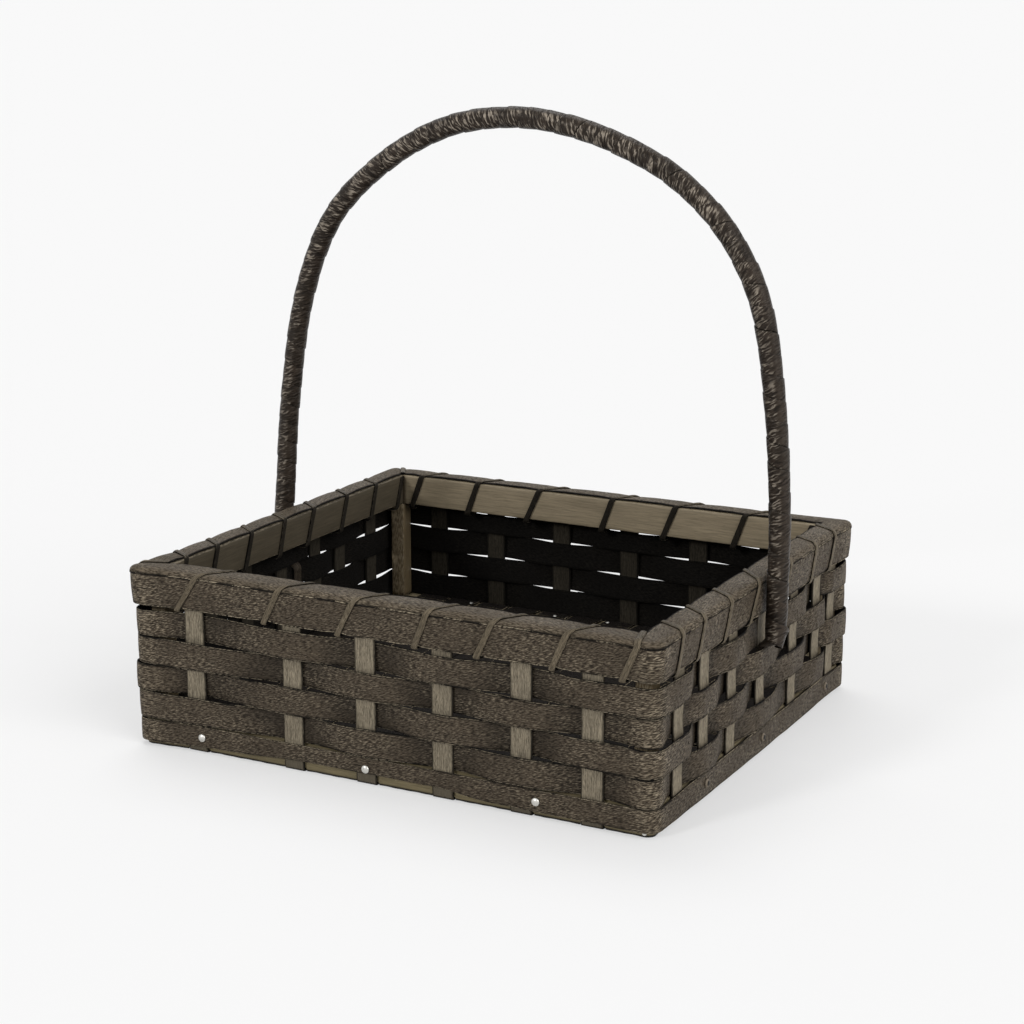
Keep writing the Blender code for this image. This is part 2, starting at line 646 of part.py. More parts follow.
def binding_path(side):
    """Middle line of a strip wound round the rim: inside face, cap, outside face, and under."""
    half = BINDING_THICKNESS / 2
    inner = CAP_OVERHANG - CAP_WIDTH - CLEARANCE - half
    outer_high = CAP_OVERHANG + CLEARANCE + half
    outer_low = WEAVE_FACE + RIM_BAND_THICKNESS + CLEARANCE + half
    top = RIM_HEIGHT + CLEARANCE + half
    under = RIM_BAND_LOW - BINDING_BELOW
    up, over, down = BINDING_STEP_SHARES[side]
    crossings = [place_between(side, share) for share in BINDING_SHARES[side]]
    ahead = math.copysign(1, crossings[-1] - crossings[0])
    end = ahead * BINDING_END_SHARE * WALL_HALF[side]
    points = [wall_point(side, -end, outer_high, top)]
    points.append(wall_point(side, crossings[0], outer_low, under))
    for start, following in zip(crossings, crossings[1:]):
        step = following - start
        points.append(wall_point(side, start, inner, under))
        points.append(wall_point(side, start + step * up, inner, top))
        points.append(wall_point(side, start + step * (up + over), outer_high, top))
        points.append(wall_point(side, start + step * (up + over + down), outer_low, under))
    points.append(wall_point(side, crossings[-1], inner, under))
    points.append(wall_point(side, crossings[-1], inner, top))
    points.append(wall_point(side, end, outer_high, top))
    return points


def make_binding(material):
    for side in SIDES:
        name = f"rim_binding_{side}"
        across = X_AXIS if side in ("front", "rear") else Y_AXIS
        sections = strip_sections(binding_path(side), across, BINDING_WIDTH, BINDING_THICKNESS)
        add_piece(name, skin_mesh(name, sections), material)
        print(name, "least gap to itself, mm:", least_gap(sections, 4) * 1000)


def turned_mesh(name, profile):
    """Mesh turned round Z from pairs of radius and height."""
    sections = []
    for radius, height in profile:
        angles = [2 * math.pi * corner / NAIL_SIDES for corner in range(NAIL_SIDES)]
        sections.append([Vector((radius * math.cos(angle), radius * math.sin(angle), height))
                         for angle in angles])
    return skin_mesh(name, sections)


def face_outward(piece, side, along, out):
    """Stand a piece on a wall with its own Z pointing outward."""
    piece.location = wall_point(side, along, out, NAIL_HEIGHT)
    tilt = {"front": (QUARTER, 0, 0), "rear": (-QUARTER, 0, 0),
            "right": (0, QUARTER, 0), "left": (0, -QUARTER, 0)}
    piece.rotation_euler = tilt[side]


def make_hole_cutters():
    """Drills for the nails, three to a side, kept as guides."""
    cutters = {}
    deep = -(NAIL_LENGTH + CLEARANCE)
    mesh = turned_mesh("nail_drill", ((HOLE_RADIUS, deep), (HOLE_RADIUS, NAIL_HEAD_HEIGHT)))
    for side in SIDES:
        cutters[side] = []
        for index, along in enumerate(nail_places(side)):
            cutter = bpy.data.objects.new(f"nail_drill_{side}_{index + 1}", mesh)
            bpy.context.scene.collection.objects.link(cutter)
            face_outward(cutter, side, along, NAIL_SEAT)
            cutter.hide_render = True
            cutter.display_type = "WIRE"
            cutters[side].append(cutter)
    return cutters


def drill(piece, cutters):
    for cutter in cutters:
        cut = piece.modifiers.new(cutter.name, "BOOLEAN")
        cut.operation = "DIFFERENCE"
        cut.solver = "EXACT"
        cut.object = cutter


def make_nails(material):
    neck = NAIL_HEAD_RADIUS * math.sin(QUARTER / 2)
    dome = NAIL_HEAD_HEIGHT * math.sin(QUARTER / 2)
    profile = ((NAIL_SHANK_RADIUS / 3, -NAIL_LENGTH), (NAIL_SHANK_RADIUS, NAIL_TIP - NAIL_LENGTH),
               (NAIL_SHANK_RADIUS, 0), (NAIL_HEAD_RADIUS, 0), (neck, dome),
               (NAIL_SHANK_RADIUS / 2, NAIL_HEAD_HEIGHT))
    mesh = turned_mesh("nail", profile)
    for side in SIDES:
        for index, along in enumerate(nail_places(side)):
            nail = add_piece(f"nail_{side}_{index + 1}", mesh, material, smooth_angle=QUARTER / 2)
            face_outward(nail, side, along, NAIL_SEAT)


def main():
    clear_scene()
    root = bpy.data.objects.new("basket", None)
    bpy.context.scene.collection.objects.link(root)

    dark_strip = make_material("dark_strip", (0.085, 0.066, 0.050), 0.45)
    pale_splint = make_material("pale_splint", (0.26, 0.21, 0.15), 0.6)
    floor_strip = make_material("floor_strip", (0.012, 0.010, 0.009), 0.35)
    board_wood = make_material("board_wood", (0.12, 0.095, 0.06), 0.55)
    batten_wood = make_material("batten_wood", (0.14, 0.11, 0.06), 0.7)
    post_wood = make_material("post_wood", (0.05, 0.035, 0.025), 0.6)
    binding_cane = make_material("binding_cane", (0.13, 0.10, 0.065), 0.5)
    handle_core = make_material("handle_core", (0.05, 0.04, 0.03), 0.6)
    handle_cane = make_material("handle_cane", (0.030, 0.022, 0.016), 0.35)
    nail_steel = make_material("nail_steel", (0.55, 0.55, 0.54), 0.3, 1.0)

    cutters = make_hole_cutters()
    make_splints(pale_splint, cutters)
    make_weavers(dark_strip)
    make_bands(dark_strip, cutters)
    make_frame(board_wood, batten_wood, post_wood, cutters)
    make_floor(floor_strip)
    bow = Bow()
    make_handle_core(bow, handle_core)
    make_handle_wrap(bow, handle_cane)
    make_binding(binding_cane)
    make_nails(nail_steel)


main()
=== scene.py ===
"""Cane gift basket with a wrapped bow handle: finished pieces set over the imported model."""

import math

import bpy
import numpy as np
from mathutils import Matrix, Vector
from mathutils.kdtree import KDTree


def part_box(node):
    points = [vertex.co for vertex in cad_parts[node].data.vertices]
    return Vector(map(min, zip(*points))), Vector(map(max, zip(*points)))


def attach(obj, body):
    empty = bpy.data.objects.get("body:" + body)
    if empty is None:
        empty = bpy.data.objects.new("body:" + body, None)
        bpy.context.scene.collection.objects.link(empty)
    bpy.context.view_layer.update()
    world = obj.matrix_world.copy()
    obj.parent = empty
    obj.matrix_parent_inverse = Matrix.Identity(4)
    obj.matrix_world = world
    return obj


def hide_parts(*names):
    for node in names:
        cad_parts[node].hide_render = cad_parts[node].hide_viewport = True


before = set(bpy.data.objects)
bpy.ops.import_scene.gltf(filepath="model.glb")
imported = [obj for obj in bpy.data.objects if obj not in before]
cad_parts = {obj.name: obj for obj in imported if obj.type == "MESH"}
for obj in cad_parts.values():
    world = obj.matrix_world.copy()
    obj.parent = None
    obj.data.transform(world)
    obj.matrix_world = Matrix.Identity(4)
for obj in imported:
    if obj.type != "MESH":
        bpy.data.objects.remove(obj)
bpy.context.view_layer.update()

bl_info = {
    "name": "Cane gift basket",
    "version": (1, 0, 0),
    "blender": (4, 5, 0),
    "location": "View3D > Sidebar > Basket",
    "description": "Builds the woven walls, rim, floor, handle and nails of a cane gift basket",
    "category": "Add Mesh",
}

BODY = "root"
SIDES = ("front", "right", "rear", "left")     # as the hoops go round
MM = 0.001
QUARTER = math.pi / 2

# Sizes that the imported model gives
RIM_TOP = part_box("rim_cap")[1].z
CAP_OVERHANG = 4.2 * MM
WALL_X, WALL_Y = [half - CAP_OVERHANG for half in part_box("rim_cap")[1].xy]
# Half of a wall's length, and how far the wall is from the middle
WALL_HALF = {"front": WALL_X, "rear": WALL_X, "right": WALL_Y, "left": WALL_Y}
WALL_AWAY = {"front": WALL_Y, "rear": WALL_Y, "right": WALL_X, "left": WALL_X}
BAND_LOW, BAND_TOP = [corner.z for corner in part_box("rim_band")]
BATTEN_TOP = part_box("base_batten_front")[1].z
SPLINT_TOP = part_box("splint_front_rear_1")[1].z
ROD_LOW, ROD_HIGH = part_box("handle_core")

CORNER = 5.5 * MM              # radius of the walls' middle line at the corners
# How far each corner stands out past the straight walls: right or left, rear or front, reach
CORNER_PULL = ((-1, -1, 4.4 * MM), (1, 1, 1.7 * MM), (-1, 1, 0.8 * MM), (1, -1, 0.8 * MM))
PULL_REACH = 20 * MM
HOOP_STEP = 1.5 * MM           # between two sections of a hoop
HOOP_WAVES = (19, 37, 53)      # waves round the basket in a band's wander in and out

# Rows from the top down, in mm: lower and upper edge, the shares of the climb that those edges
# take, reach past the corners, and the wall and place where the row's outer end lies
ROWS = {
    "rim": (77.6, 91.4, -0.5, 0.1, 1.2, "rear", -20),
    "1": (60.0, 74.9, 1.0, 0.3, 1.8, "right", -37),
    "2": (45.2, 59.7, 1.0, 1.1, 1.6, "rear", 64),
    "3": (30.4, 44.9, 1.0, 1.1, 2.8, "left", 66),
    "4": (15.5, 30.1, 0.3, 1.1, 1.9, "rear", -20),
}
RIM_ROW, TOP_ROW, TONGUE_ROW, LOW_ROW = 0, 1, 2, 4
FIRST_SPLINT_ROWS = {"front": 0, "right": 1, "rear": 1, "left": 1}
OVERLAP = 30 * MM              # of a row's outer end over its start
OVERLAP_EASE = 12 * MM
# Share of the sway that the rows take on each wall
SIDE_SWAY = {"front": 1.0, "right": 1.35, "rear": 0.9, "left": 0.85}
# How far the seams between the rows climb round the basket: side, place along it, climb
SEAM_CLIMB = (
    ("front", -120, 0.2), ("front", 0, 0.0), ("front", 110, 0.0), ("right", -60, 0.0),
    ("right", 20, 0.4), ("right", 118, 2.6), ("rear", 60, 3.4), ("rear", -60, 4.0),
    ("rear", -130, 3.0), ("left", 60, 4.2), ("left", 0, 4.8), ("left", -90, 2.4),
)


def linear(red, green, blue):
    """Linear colour for a colour given from 0 to 255."""
    shares = [channel / 255 for channel in (red, green, blue)]
    return tuple(share / 12.92 if share <= 0.04045 else ((share + 0.055) / 1.055) ** 2.4
                 for share in shares)


# Pale for worn edges, and for painted highlights on the ridge tips
PALE_WEAR_AND_HIGHLIGHT = linear(178, 164, 140)
# Painted glint on the crests of the handle wrap
PAINTED_GLINT = linear(184, 172, 156)
# SHADOW darkens the left rim board for painted shade, and the middle of the dark nail heads; DEEP
# is painted shade at edges, round nail heads and near the floor, and the own dark colour of inner
# faces
SHADOW = linear(20, 17, 13)
DEEP = linear(6, 5, 4)


def length_property(name, description, size):
    return bpy.props.FloatProperty(name=name, description=description, default=size * MM,
                                   unit="LENGTH")


def colour_property(name, description, red, green, blue):
    return bpy.props.FloatVectorProperty(name=name, description=description, subtype="COLOR",
                                         size=3, min=0, max=1, default=linear(red, green, blue))


class BasketSizes(bpy.types.PropertyGroup):
    """Sizes of the strips that a maker would choose."""

    sway: length_property("Weaver sway", "How far a weaver swings out or in past a splint", 2.2)
    weaver_thickness: length_property("Weaver thickness", "Thickness of the woven strips", 0.9)
    splint_width: length_property("Splint width", "Width of the upright strips", 12)
    splint_thickness: length_property("Splint thickness", "Thickness of the upright strips", 1.2)
    wrap_pitch: length_property("Wrap pitch", "Advance of the handle wrap in one turn", 11.5)
    lashing_width: length_property("Lashing width", "Width of the strip wound round the rim", 3.7)
    floor_pitch: length_property("Floor pitch", "Spacing of the woven floor strips", 21)


class BasketColours(bpy.types.PropertyGroup):
    """Stains and finishes of the basket's pieces."""

    strip: colour_property("Strip", "Stain of the woven strips and bands", 70, 61, 50)
    cap: colour_property("Cap", "Stain of the strip that caps the rim", 98, 87, 72)
    splint: colour_property("Splint", "Colour of the bare upright strips", 152, 141, 121)
    board: colour_property("Board", "Stain of the rim boards", 146, 133, 110)
    batten: colour_property("Batten", "Rough wood of the base battens", 122, 111, 84)
    post: colour_property("Post", "Stain of the corner posts", 101, 88, 66)
    floor: colour_property("Floor", "Stain of the floor strips", 34, 31, 29)
    lashing: colour_property("Lashing", "Peel wound round the rim", 99, 89, 73)
    handle: colour_property("Handle", "Stain of the handle wrap", 50, 42, 35)
    steel: colour_property("Nail", "Bright steel of the nails", 206, 204, 198)
    dull_nail: colour_property("Dull nail", "Dark nail heads in the side bands", 128, 117, 102)


def sizes():
    return bpy.context.scene.basket_sizes


def colours():
    return bpy.context.scene.basket_colours


def shade(colour, share=1.0):
    """A colour made lighter or darker, with the alpha that a socket wants."""
    return (*[min(channel * share, 1.0) for channel in colour], 1.0)


def toward(colour, other, share):
    """A colour part of the way to another one."""
    return tuple(a + (b - a) * share for a, b in zip(colour, other))


class Value:
    """Wraps a node's output socket, so that arithmetic on it adds Math nodes."""

    def __init__(self, tree, socket):
        self.tree = tree
        self.socket = socket

    def _math(self, operation, *terms):
        return self.tree.add("ShaderNodeMath", {"operation": operation}, dict(enumerate(terms)))

    def __add__(self, other):
        return self._math("ADD", self, other)

    __radd__ = __add__

    def __sub__(self, other):
        return self._math("SUBTRACT", self, other)

    def __rsub__(self, other):
        return self._math("SUBTRACT", other, self)

    def __mul__(self, other):
        return self._math("MULTIPLY", self, other)

    __rmul__ = __mul__

    def __abs__(self):
        return self._math("ABSOLUTE", self)

    def between(self, low, high):
        """Smooth rise from 0 to 1 as the value goes from low to high."""
        return self.tree.add("ShaderNodeMapRange", {"interpolation_type": "SMOOTHSTEP"},
                             {"Value": self, "From Min": low, "From Max": high})

    def others(self, *outputs):
        """Other outputs of the same node, by name or number."""
        return [Value(self.tree, self.socket.node.outputs[output]) for output in outputs]


class NodeTree:
    """The node tree of a material or a world, and its shader."""

    def __init__(self, block, shader):
        block.use_nodes = True
        self.block = block
        self.nodes, self.links = block.node_tree.nodes, block.node_tree.links
        self.shader = self.nodes[shader]

    def add(self, kind, settings=None, sockets=None, output=0):
        """A node: its settings first, then its sockets' values or links."""
        node = self.nodes.new(kind)
        for setting, value in (settings or {}).items():
            setattr(node, setting, value)
        for key, value in (sockets or {}).items():
            self.feed(node, key, value)
        return Value(self, node.outputs[output])

    def feed(self, node, key, value):
        if isinstance(value, Value):
            self.links.new(value.socket, node.inputs[key])
        else:
            node.inputs[key].default_value = value

    def link(self, key, value):
        self.feed(self.shader, key, value)

    def constant(self, **sockets):
        for key, value in sockets.items():
            self.feed(self.shader, key.replace("_", " "), value)

    def background_rays(self):
        """1 for rays that show the background: from the camera, in gloss and through glass."""
        camera, gloss, glass = self.add("ShaderNodeLightPath").others(
            "Is Camera Ray", "Is Glossy Ray", "Is Transmission Ray")
        return (camera + gloss + glass).between(0.0, 0.5)

    def vector_math(self, operation, *terms, output=0):
        return self.add("ShaderNodeVectorMath", {"operation": operation},
                        dict(enumerate(terms)), output)

    def parts(self, vector):
        """The three numbers of a vector."""
        return self.add("ShaderNodeSeparateXYZ", sockets={0: vector}).others(0, 1, 2)

    def mix(self, factor, first, second):
        """Colours mixed by a factor."""
        return self.add("ShaderNodeMix", {"data_type": "RGBA"}, {0: factor, 6: first, 7: second},
                        output=2)


class Finish(NodeTree):
    """One material, whose paint is built up coat by coat."""

    def __init__(self, name):
        super().__init__(bpy.data.materials.new(name), "Principled BSDF")
        self.paint = None

    def strip_place(self):
        """Where a spot lies on its strip: mm along and across, its side, and 1 at the edges."""
        along, across, side = self.parts(
            self.add("ShaderNodeAttribute", {"attribute_name": "strip"}, output="Vector"))
        return along * 1000, across * 1000, side, self.edge()

    def edge(self):
        return self.add("ShaderNodeAttribute", {"attribute_name": "edge"}, output="Fac")

    def object_place(self):
        return self.add("ShaderNodeTexCoord", output="Object")

    def noise(self, place, detail, roughness=0.55):
        """Noise at a vector, or at three numbers."""
        if isinstance(place, tuple):
            place = self.add("ShaderNodeCombineXYZ", sockets=dict(enumerate(place)))
        return self.add("ShaderNodeTexNoise", sockets={
            "Vector": place, "Scale": 1.0, "Detail": detail, "Roughness": roughness})

    def coat(self, mask, colour, light=1.0):
        """Covers the paint with a colour, made lighter or darker, where the mask is 1."""
        self.paint = self.mix(mask, self.paint, shade(colour, light))

    def done(self, roughness, height, strength, distance, **constants):
        """The material, with its paint, roughness, relief and constant values linked."""
        self.link("Base Color", self.paint)
        self.link("Roughness", roughness)
        self.link("Normal", self.add("ShaderNodeBump", sockets={
            "Strength": strength, "Distance": distance, "Height": height}))
        self.constant(**constants)
        return self.block


def wall_place(finish):
    """Height, how many mm a spot stands out past the walls' middle line, and 1 at the corners."""
    place = finish.object_place()
    x, y, height = finish.parts(place)
    bent = (abs(x).between(WALL_X - 16 * MM, WALL_X - 4 * MM)
            * abs(y).between(WALL_Y - 16 * MM, WALL_Y - 4 * MM))
    past = finish.vector_math("SUBTRACT", finish.vector_math("ABSOLUTE", place),
                              (WALL_X - CORNER, WALL_Y - CORNER, 1.0))
    past = finish.vector_math("MAXIMUM", past, (0.0, 0.0, 0.0))
    reach = finish.vector_math("LENGTH", past, output="Value")
    return height, (reach - CORNER) * 1000, bent


def cane_finish(name, colour, pale=0.7, inner=0.7, gloss=0.5, lean=0.22, ridge=1.0,
                edge_light=0.5, edge_shadow_weight=1.0, fibre=0.4, grain=1.0, shine=0.12, depth=1.0,
                foot=0.0):
    """Stained cane strip: small slanting ridges with painted highlights on their tips, painted
    light and shade by how far it stands out, and painted shade in the folds, at the edges and near
    the floor.
    """
    finish = Finish(name)
    along, across, side, edge = finish.strip_place()
    warp = finish.noise((along * 0.16, across * 0.30, side * 9), 2)
    slant = along * math.cos(lean) + across * math.sin(lean) + warp * 2.2
    rise = across * math.cos(lean) - along * math.sin(lean) + warp * 1.5
    patch = finish.noise((along * 0.042, across * 0.11, side), 2)
    sheen_patches = finish.noise((along * 0.024 + 7.0, across * 0.04, side), 1.5)
    fibres = finish.noise((along * 0.10, across * 1.9, side * 3), 3, 0.65)
    ridges = finish.noise((slant * 0.40, rise * 2.5 * grain, side * 5), 1.5)
    pebble = finish.add("ShaderNodeTexVoronoi", {"feature": "F1"}, {
        "Vector": finish.add("ShaderNodeCombineXYZ", sockets={
            0: slant * 0.60, 1: rise * 1.8 * grain, 2: side * 5}),
        "Scale": 1.0, "Randomness": 0.9})
    wrinkles = finish.noise((along * 0.16 + 30.0, across * 2.5 + warp, side * 8), 1.5)
    height, standing, bent = wall_place(finish)
    bent = bent * depth
    high = 0.5 + (standing.between(-1.4, 2.8) - 0.5) * depth
    # lit: share of painted light, from sheen patches, spots that stand out past the wall, and the
    # corners
    lit = sheen_patches.between(0.42, 0.60) * 0.50 + high * 0.30 + bent * 0.40
    relief = ridges + (0.45 - pebble) * 0.24 + (wrinkles - 0.46) * bent * 0.6
    tips = relief.between(0.50, 0.67)
    folds = relief.between(0.50, 0.35)
    inside = side.between(0.25, -0.55)
    worn = ridges.between(0.42, 0.56) * patch.between(0.38, 0.52)
    light_line = edge.between(0.895, 0.94) * (1 - edge.between(0.97, 0.99)) * worn
    contact_shade = edge.between(0.80, 0.955)
    # Base tone: random patches, and painted light and shade, lighter where the strip stands out
    # past the wall and darker where it dips behind
    finish.paint = finish.mix(patch.between(0.28, 0.72) * 0.25 + high * 0.75,
                              shade(colour, 0.48), shade(colour, 1.30))
    finish.coat(fibres.between(0.60, 0.36) * fibre, colour, 0.32)
    # Painted shade in the folds between the ridges
    finish.coat(folds * 0.72 * ridge, colour, 0.12)
    # Painted highlights on the ridge tips, strongest where lit
    finish.coat(tips * (0.08 + lit * 0.98) * pale, toward(colour, PALE_WEAR_AND_HIGHLIGHT, 0.70))
    finish.coat(height.between(9 * MM, 7 * MM) * foot, colour, 0.3)
    # Painted contact shadow along the strip's edges, where it meets the strips beside it
    finish.coat(contact_shade * edge_shadow_weight, DEEP)
    finish.coat(light_line * edge_light, PALE_WEAR_AND_HIGHLIGHT)
    # Dark inner faces; on the lashing's inner stretch this is painted shade
    finish.coat(inside * inner, DEEP)
    # Painted contact shadow near the floor
    finish.coat(height.between(1.8 * MM, 0.6 * MM), DEEP)
    return finish.done(gloss + (0.5 - sheen_patches) * 0.3 + (folds + inside + contact_shade) * 0.3,
                       fibres * 0.25 + relief * ridge, 0.9, 0.5 * MM, Specular_IOR_Level=shine)


def wood_finish(name, colour, rough=0.0, gloss=0.5):
    """Sawn and stained wood with long fine grain, pores and a worn pale arris."""
    finish = Finish(name)
    along, across, side, edge = finish.strip_place()
    sway = finish.noise((along * 0.02, across * 0.12, side), 2)
    grain = finish.noise((along * 0.05, across * 1.15 + sway * 4, side * 2), 5, 0.7)
    pores = finish.noise((along * 0.22, across * 3.6, side * 4), 2)
    chips = finish.noise((along * 0.35, across * 0.9, side * 6), 4)
    finish.paint = finish.mix(grain.between(0.30, 0.70), shade(colour, 0.72), shade(colour, 1.16))
    finish.coat(pores.between(0.60, 0.72) * 0.45, colour, 0.28)
    finish.coat(sway.between(0.45, 0.7) * 0.35, colour, 0.6)
    worn = edge.between(0.86, 0.97) * chips.between(0.42, 0.6)
    finish.coat(worn * (0.45 + rough * 0.3), toward(colour, PALE_WEAR_AND_HIGHLIGHT, 0.75))
    finish.coat(chips.between(0.62, 0.72) * rough * 0.8, toward(colour, PALE_WEAR_AND_HIGHLIGHT, 0.6))
    # Painted contact shadow: near black within 1 to 2 mm of the floor
    height = finish.parts(finish.object_place())[2]
    finish.coat(height.between(2.0 * MM, 0.9 * MM), DEEP)
    return finish.done(gloss + (grain - 0.5) * 0.3, grain * 0.5 + pores * 0.4 + chips * rough,
                       0.5, 0.3 * MM, Specular_IOR_Level=0.2)


def wrap_finish(name, colour):
    """Dark wrap: slanting wrinkles across the rod, a painted highlight on the crests that face
    front and rear, and painted shade in the hollows and along the turns' edges.
    """
    finish = Finish(name)
    run, around, side, edge = finish.strip_place()
    patch = finish.noise((run * 0.07, around * 0.05, side), 2)
    waver = finish.noise((run * 0.35, around * 0.16, 2.0), 2)
    slant = run + around * 0.42 + waver * 3
    wrinkles = finish.noise((slant * 0.85, around * 0.17, 4.0), 1.5)
    creases = finish.noise((slant * 1.3, around * 0.22, 6.0), 2)
    relief = wrinkles * 0.65 + creases * 0.35
    facing = finish.vector_math("DOT_PRODUCT", finish.vector_math(
        "ABSOLUTE", finish.add("ShaderNodeTexCoord", output="Normal")),
        (0.16, 0.91, 0.38), output="Value")
    glint_side = facing.between(0.84, 0.99) * patch.between(0.30, 0.55)
    hollows = relief.between(0.50, 0.36)
    finish.paint = finish.mix(patch.between(0.3, 0.7), shade(colour, 0.55), shade(colour, 1.05))
    # Painted shade in the hollows of the wrinkles
    finish.coat(hollows * 0.85, colour, 0.14)
    # Painted glint on the crests that face front and rear
    finish.coat(relief.between(0.50, 0.60) * (0.03 + glint_side * 0.62), PAINTED_GLINT)
    # Painted shade along the edges of each turn
    finish.coat(edge.between(0.93, 0.99) * 0.6, DEEP)
    return finish.done(0.30 + (patch - 0.5) * 0.12 + hollows * 0.3, relief, 1.0, 1.0 * MM,
                       Specular_IOR_Level=0.16, Specular_Tint=(1.0, 0.92, 0.84, 1.0))


def steel_finish(name, colour, metal, dark_head=0.0, shine=0.5):
    """Nail steel with fine scratches, dull spots, painted shade on the head's rim and underside,
    and a dark middle.
    """
    finish = Finish(name)
    edge = finish.edge()
    place = finish.object_place()
    scratches = finish.noise(finish.vector_math("MULTIPLY", place, (2600, 2600, 700)), 2)
    spots = finish.noise(finish.vector_math("MULTIPLY", place, (900, 900, 900)), 3)
    finish.paint = finish.mix(spots.between(0.5, 0.68) * 0.55, shade(colour), shade(colour, 0.42))
    finish.coat(edge.between(0.30, 0.20) * dark_head, SHADOW)
    # Painted shade on the head's rim and underside
    finish.coat(edge.between(0.4 + dark_head * 0.3, 0.8 + dark_head * 0.15), DEEP)
    return finish.done(0.24 + spots * 0.18, scratches, 0.12, 0.08 * MM,
                       Metallic=metal, Specular_IOR_Level=shine)


def axes(turn):
    """Directions along a wall, as the hoops go, and out of it, for a number of quarter turns."""
    ahead = np.array((math.cos(turn * QUARTER), math.sin(turn * QUARTER), 0.0))
    return ahead, np.array((ahead[1], -ahead[0], 0.0))


def unit(vectors):
    return vectors / np.maximum(np.linalg.norm(vectors, axis=-1, keepdims=True), 1e-12)


def smooth(share):
    share = np.clip(share, 0, 1)
    return share * share * (3 - 2 * share)


def measured(points):
    """Distance of each point along a bent line."""
    return np.concatenate(((0.0,), np.cumsum(np.linalg.norm(np.diff(points, axis=0), axis=1))))


def read_table(runs, known, table):
    """Rows of a table read between its known runs."""
    return np.column_stack([np.interp(runs, known, column) for column in table.T])


def resampled(points, step):
    """The same line with even steps."""
    points = np.asarray(points, float)
    runs = measured(points)
    even = np.linspace(0, runs[-1], max(int(runs[-1] / step), 2) + 1)
    return read_table(even, runs, points)


def rounded(points):
    """A bent line with its corners cut and softened."""
    points = np.asarray(points, float)
    for _ in range(2):
        early = points[:-1] * 0.75 + points[1:] * 0.25
        late = points[:-1] * 0.25 + points[1:] * 0.75
        middle = np.stack((early, late), axis=1).reshape(-1, points.shape[1])
        points = np.vstack((points[:1], middle, points[-1:]))
    return points


def eased(points, reach):
    """A bent line whose corners are rounded off within a set reach."""
    points = np.asarray(points)
    line = [points[0]]
    for before, corner, after in zip(points, points[1:], points[2:]):
        ahead, behind = after - corner, before - corner
        near = min(reach, np.linalg.norm(ahead) / 3, np.linalg.norm(behind) / 3)
        first = corner + unit(behind) * near
        last = corner + unit(ahead) * near
        for share in (0, 0.25, 0.5, 0.75, 1.0):
            early = first + (corner - first) * share
            late = corner + (last - corner) * share
            line.append(early + (late - early) * share)
    line.append(points[-1])
    return np.array(line)


class Wall:
    """The walls' middle line seen from above: four straight runs joined by round corners."""

    def __init__(self, radius):
        self.radius = radius
        self.turn = radius * QUARTER
        self.start = {}
        run = 0.0
        for side in SIDES:
            self.start[side] = run
            run += self.straight(side) + self.turn
        self.length = run
        self.runs = np.arange(0, run, HOOP_STEP)

    def straight(self, side):
        return 2 * (WALL_HALF[side] - self.radius)

    def run_at(self, side, along):
        """Distance round the basket of a place on a wall, given along X or along Y."""
        ahead = along if side in ("front", "right") else -along
        return self.start[side] + self.straight(side) / 2 + ahead

    def corner_run(self, side):
        """Middle of the corner at the end of a wall."""
        return self.start[side] + self.straight(side) + self.turn / 2

    def at(self, runs):
        """Places on the line and outward directions, one row for each run."""
        places = np.zeros((len(runs), 2))
        outward = np.zeros((len(runs), 2))
        runs = np.mod(runs, self.length)
        for turn, side in enumerate(SIDES):
            ahead, out = [axis[:2] for axis in axes(turn)]
            here = runs >= self.start[side] - 1e-12
            straight = self.straight(side)
            local = runs[here] - self.start[side]
            angle = np.clip((local - straight) / self.radius, 0, QUARTER)[:, None]
            normal = out * np.cos(angle) + ahead * np.sin(angle)
            centre = out * (WALL_AWAY[side] - self.radius) - ahead * straight / 2
            flat = np.minimum(local, straight)[:, None]
            places[here] = centre + ahead * flat + self.radius * normal
            outward[here] = normal
        return places, outward

    def path(self, runs, out, low, high):
        """Middle line of a hoop with a set offset, lower and upper edge, and outward directions."""
        places, outward = self.at(runs)
        return np.column_stack((places + outward * out[:, None], (low + high) / 2)), outward


WALL = Wall(CORNER)


def pulled(points):
    """Points moved outward near the corners that stand out past the straight walls."""
    points = np.array(points, float)
    for to_right, to_rear, reach in CORNER_PULL:
        gaps = points[:, :2] - (to_right * WALL_X, to_rear * WALL_Y)
        share = np.exp(-(gaps ** 2).sum(axis=1) / PULL_REACH ** 2)
        points[:, :2] += share[:, None] * reach * np.array((to_right, to_rear)) / math.sqrt(2)
    return points


def read_knots(knots, runs):
    """Smooth value round the basket between knots of run and value, flat at each knot."""
    places, values = np.array(sorted(knots)).T
    places = np.concatenate((places[-1:] - WALL.length, places, places[:1] + WALL.length))
    values = np.concatenate((values[-1:], values, values[:1]))
    runs = np.mod(runs, WALL.length)
    index = np.clip(np.searchsorted(places, runs), 1, len(places) - 1)
    gap = places[index] - places[index - 1]
    share = smooth((runs - places[index - 1]) / np.maximum(gap, 1e-9))
    return values[index - 1] + (values[index] - values[index - 1]) * share


def read_sides(table, runs):
    """Smooth value round the basket from a table of side, place along it and value in mm."""
    return read_knots([(WALL.run_at(side, along * MM), value * MM)
                       for side, along, value in table], runs)


def drift(runs, seed, size, waves=(3, 7, 13, 29)):
    """Slow seeded waver that closes round the basket."""
    phases = np.random.default_rng(seed).uniform(0, 2 * math.pi, len(waves))
    total = sum(np.sin(2 * math.pi * wave * runs / WALL.length + phase)
                for wave, phase in zip(waves, phases))
    return size * total / len(waves)


def node_points(node, test):
    """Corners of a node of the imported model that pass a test."""
    points = np.array([vertex.co[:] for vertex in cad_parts[node].data.vertices])
    return points[test(points)]


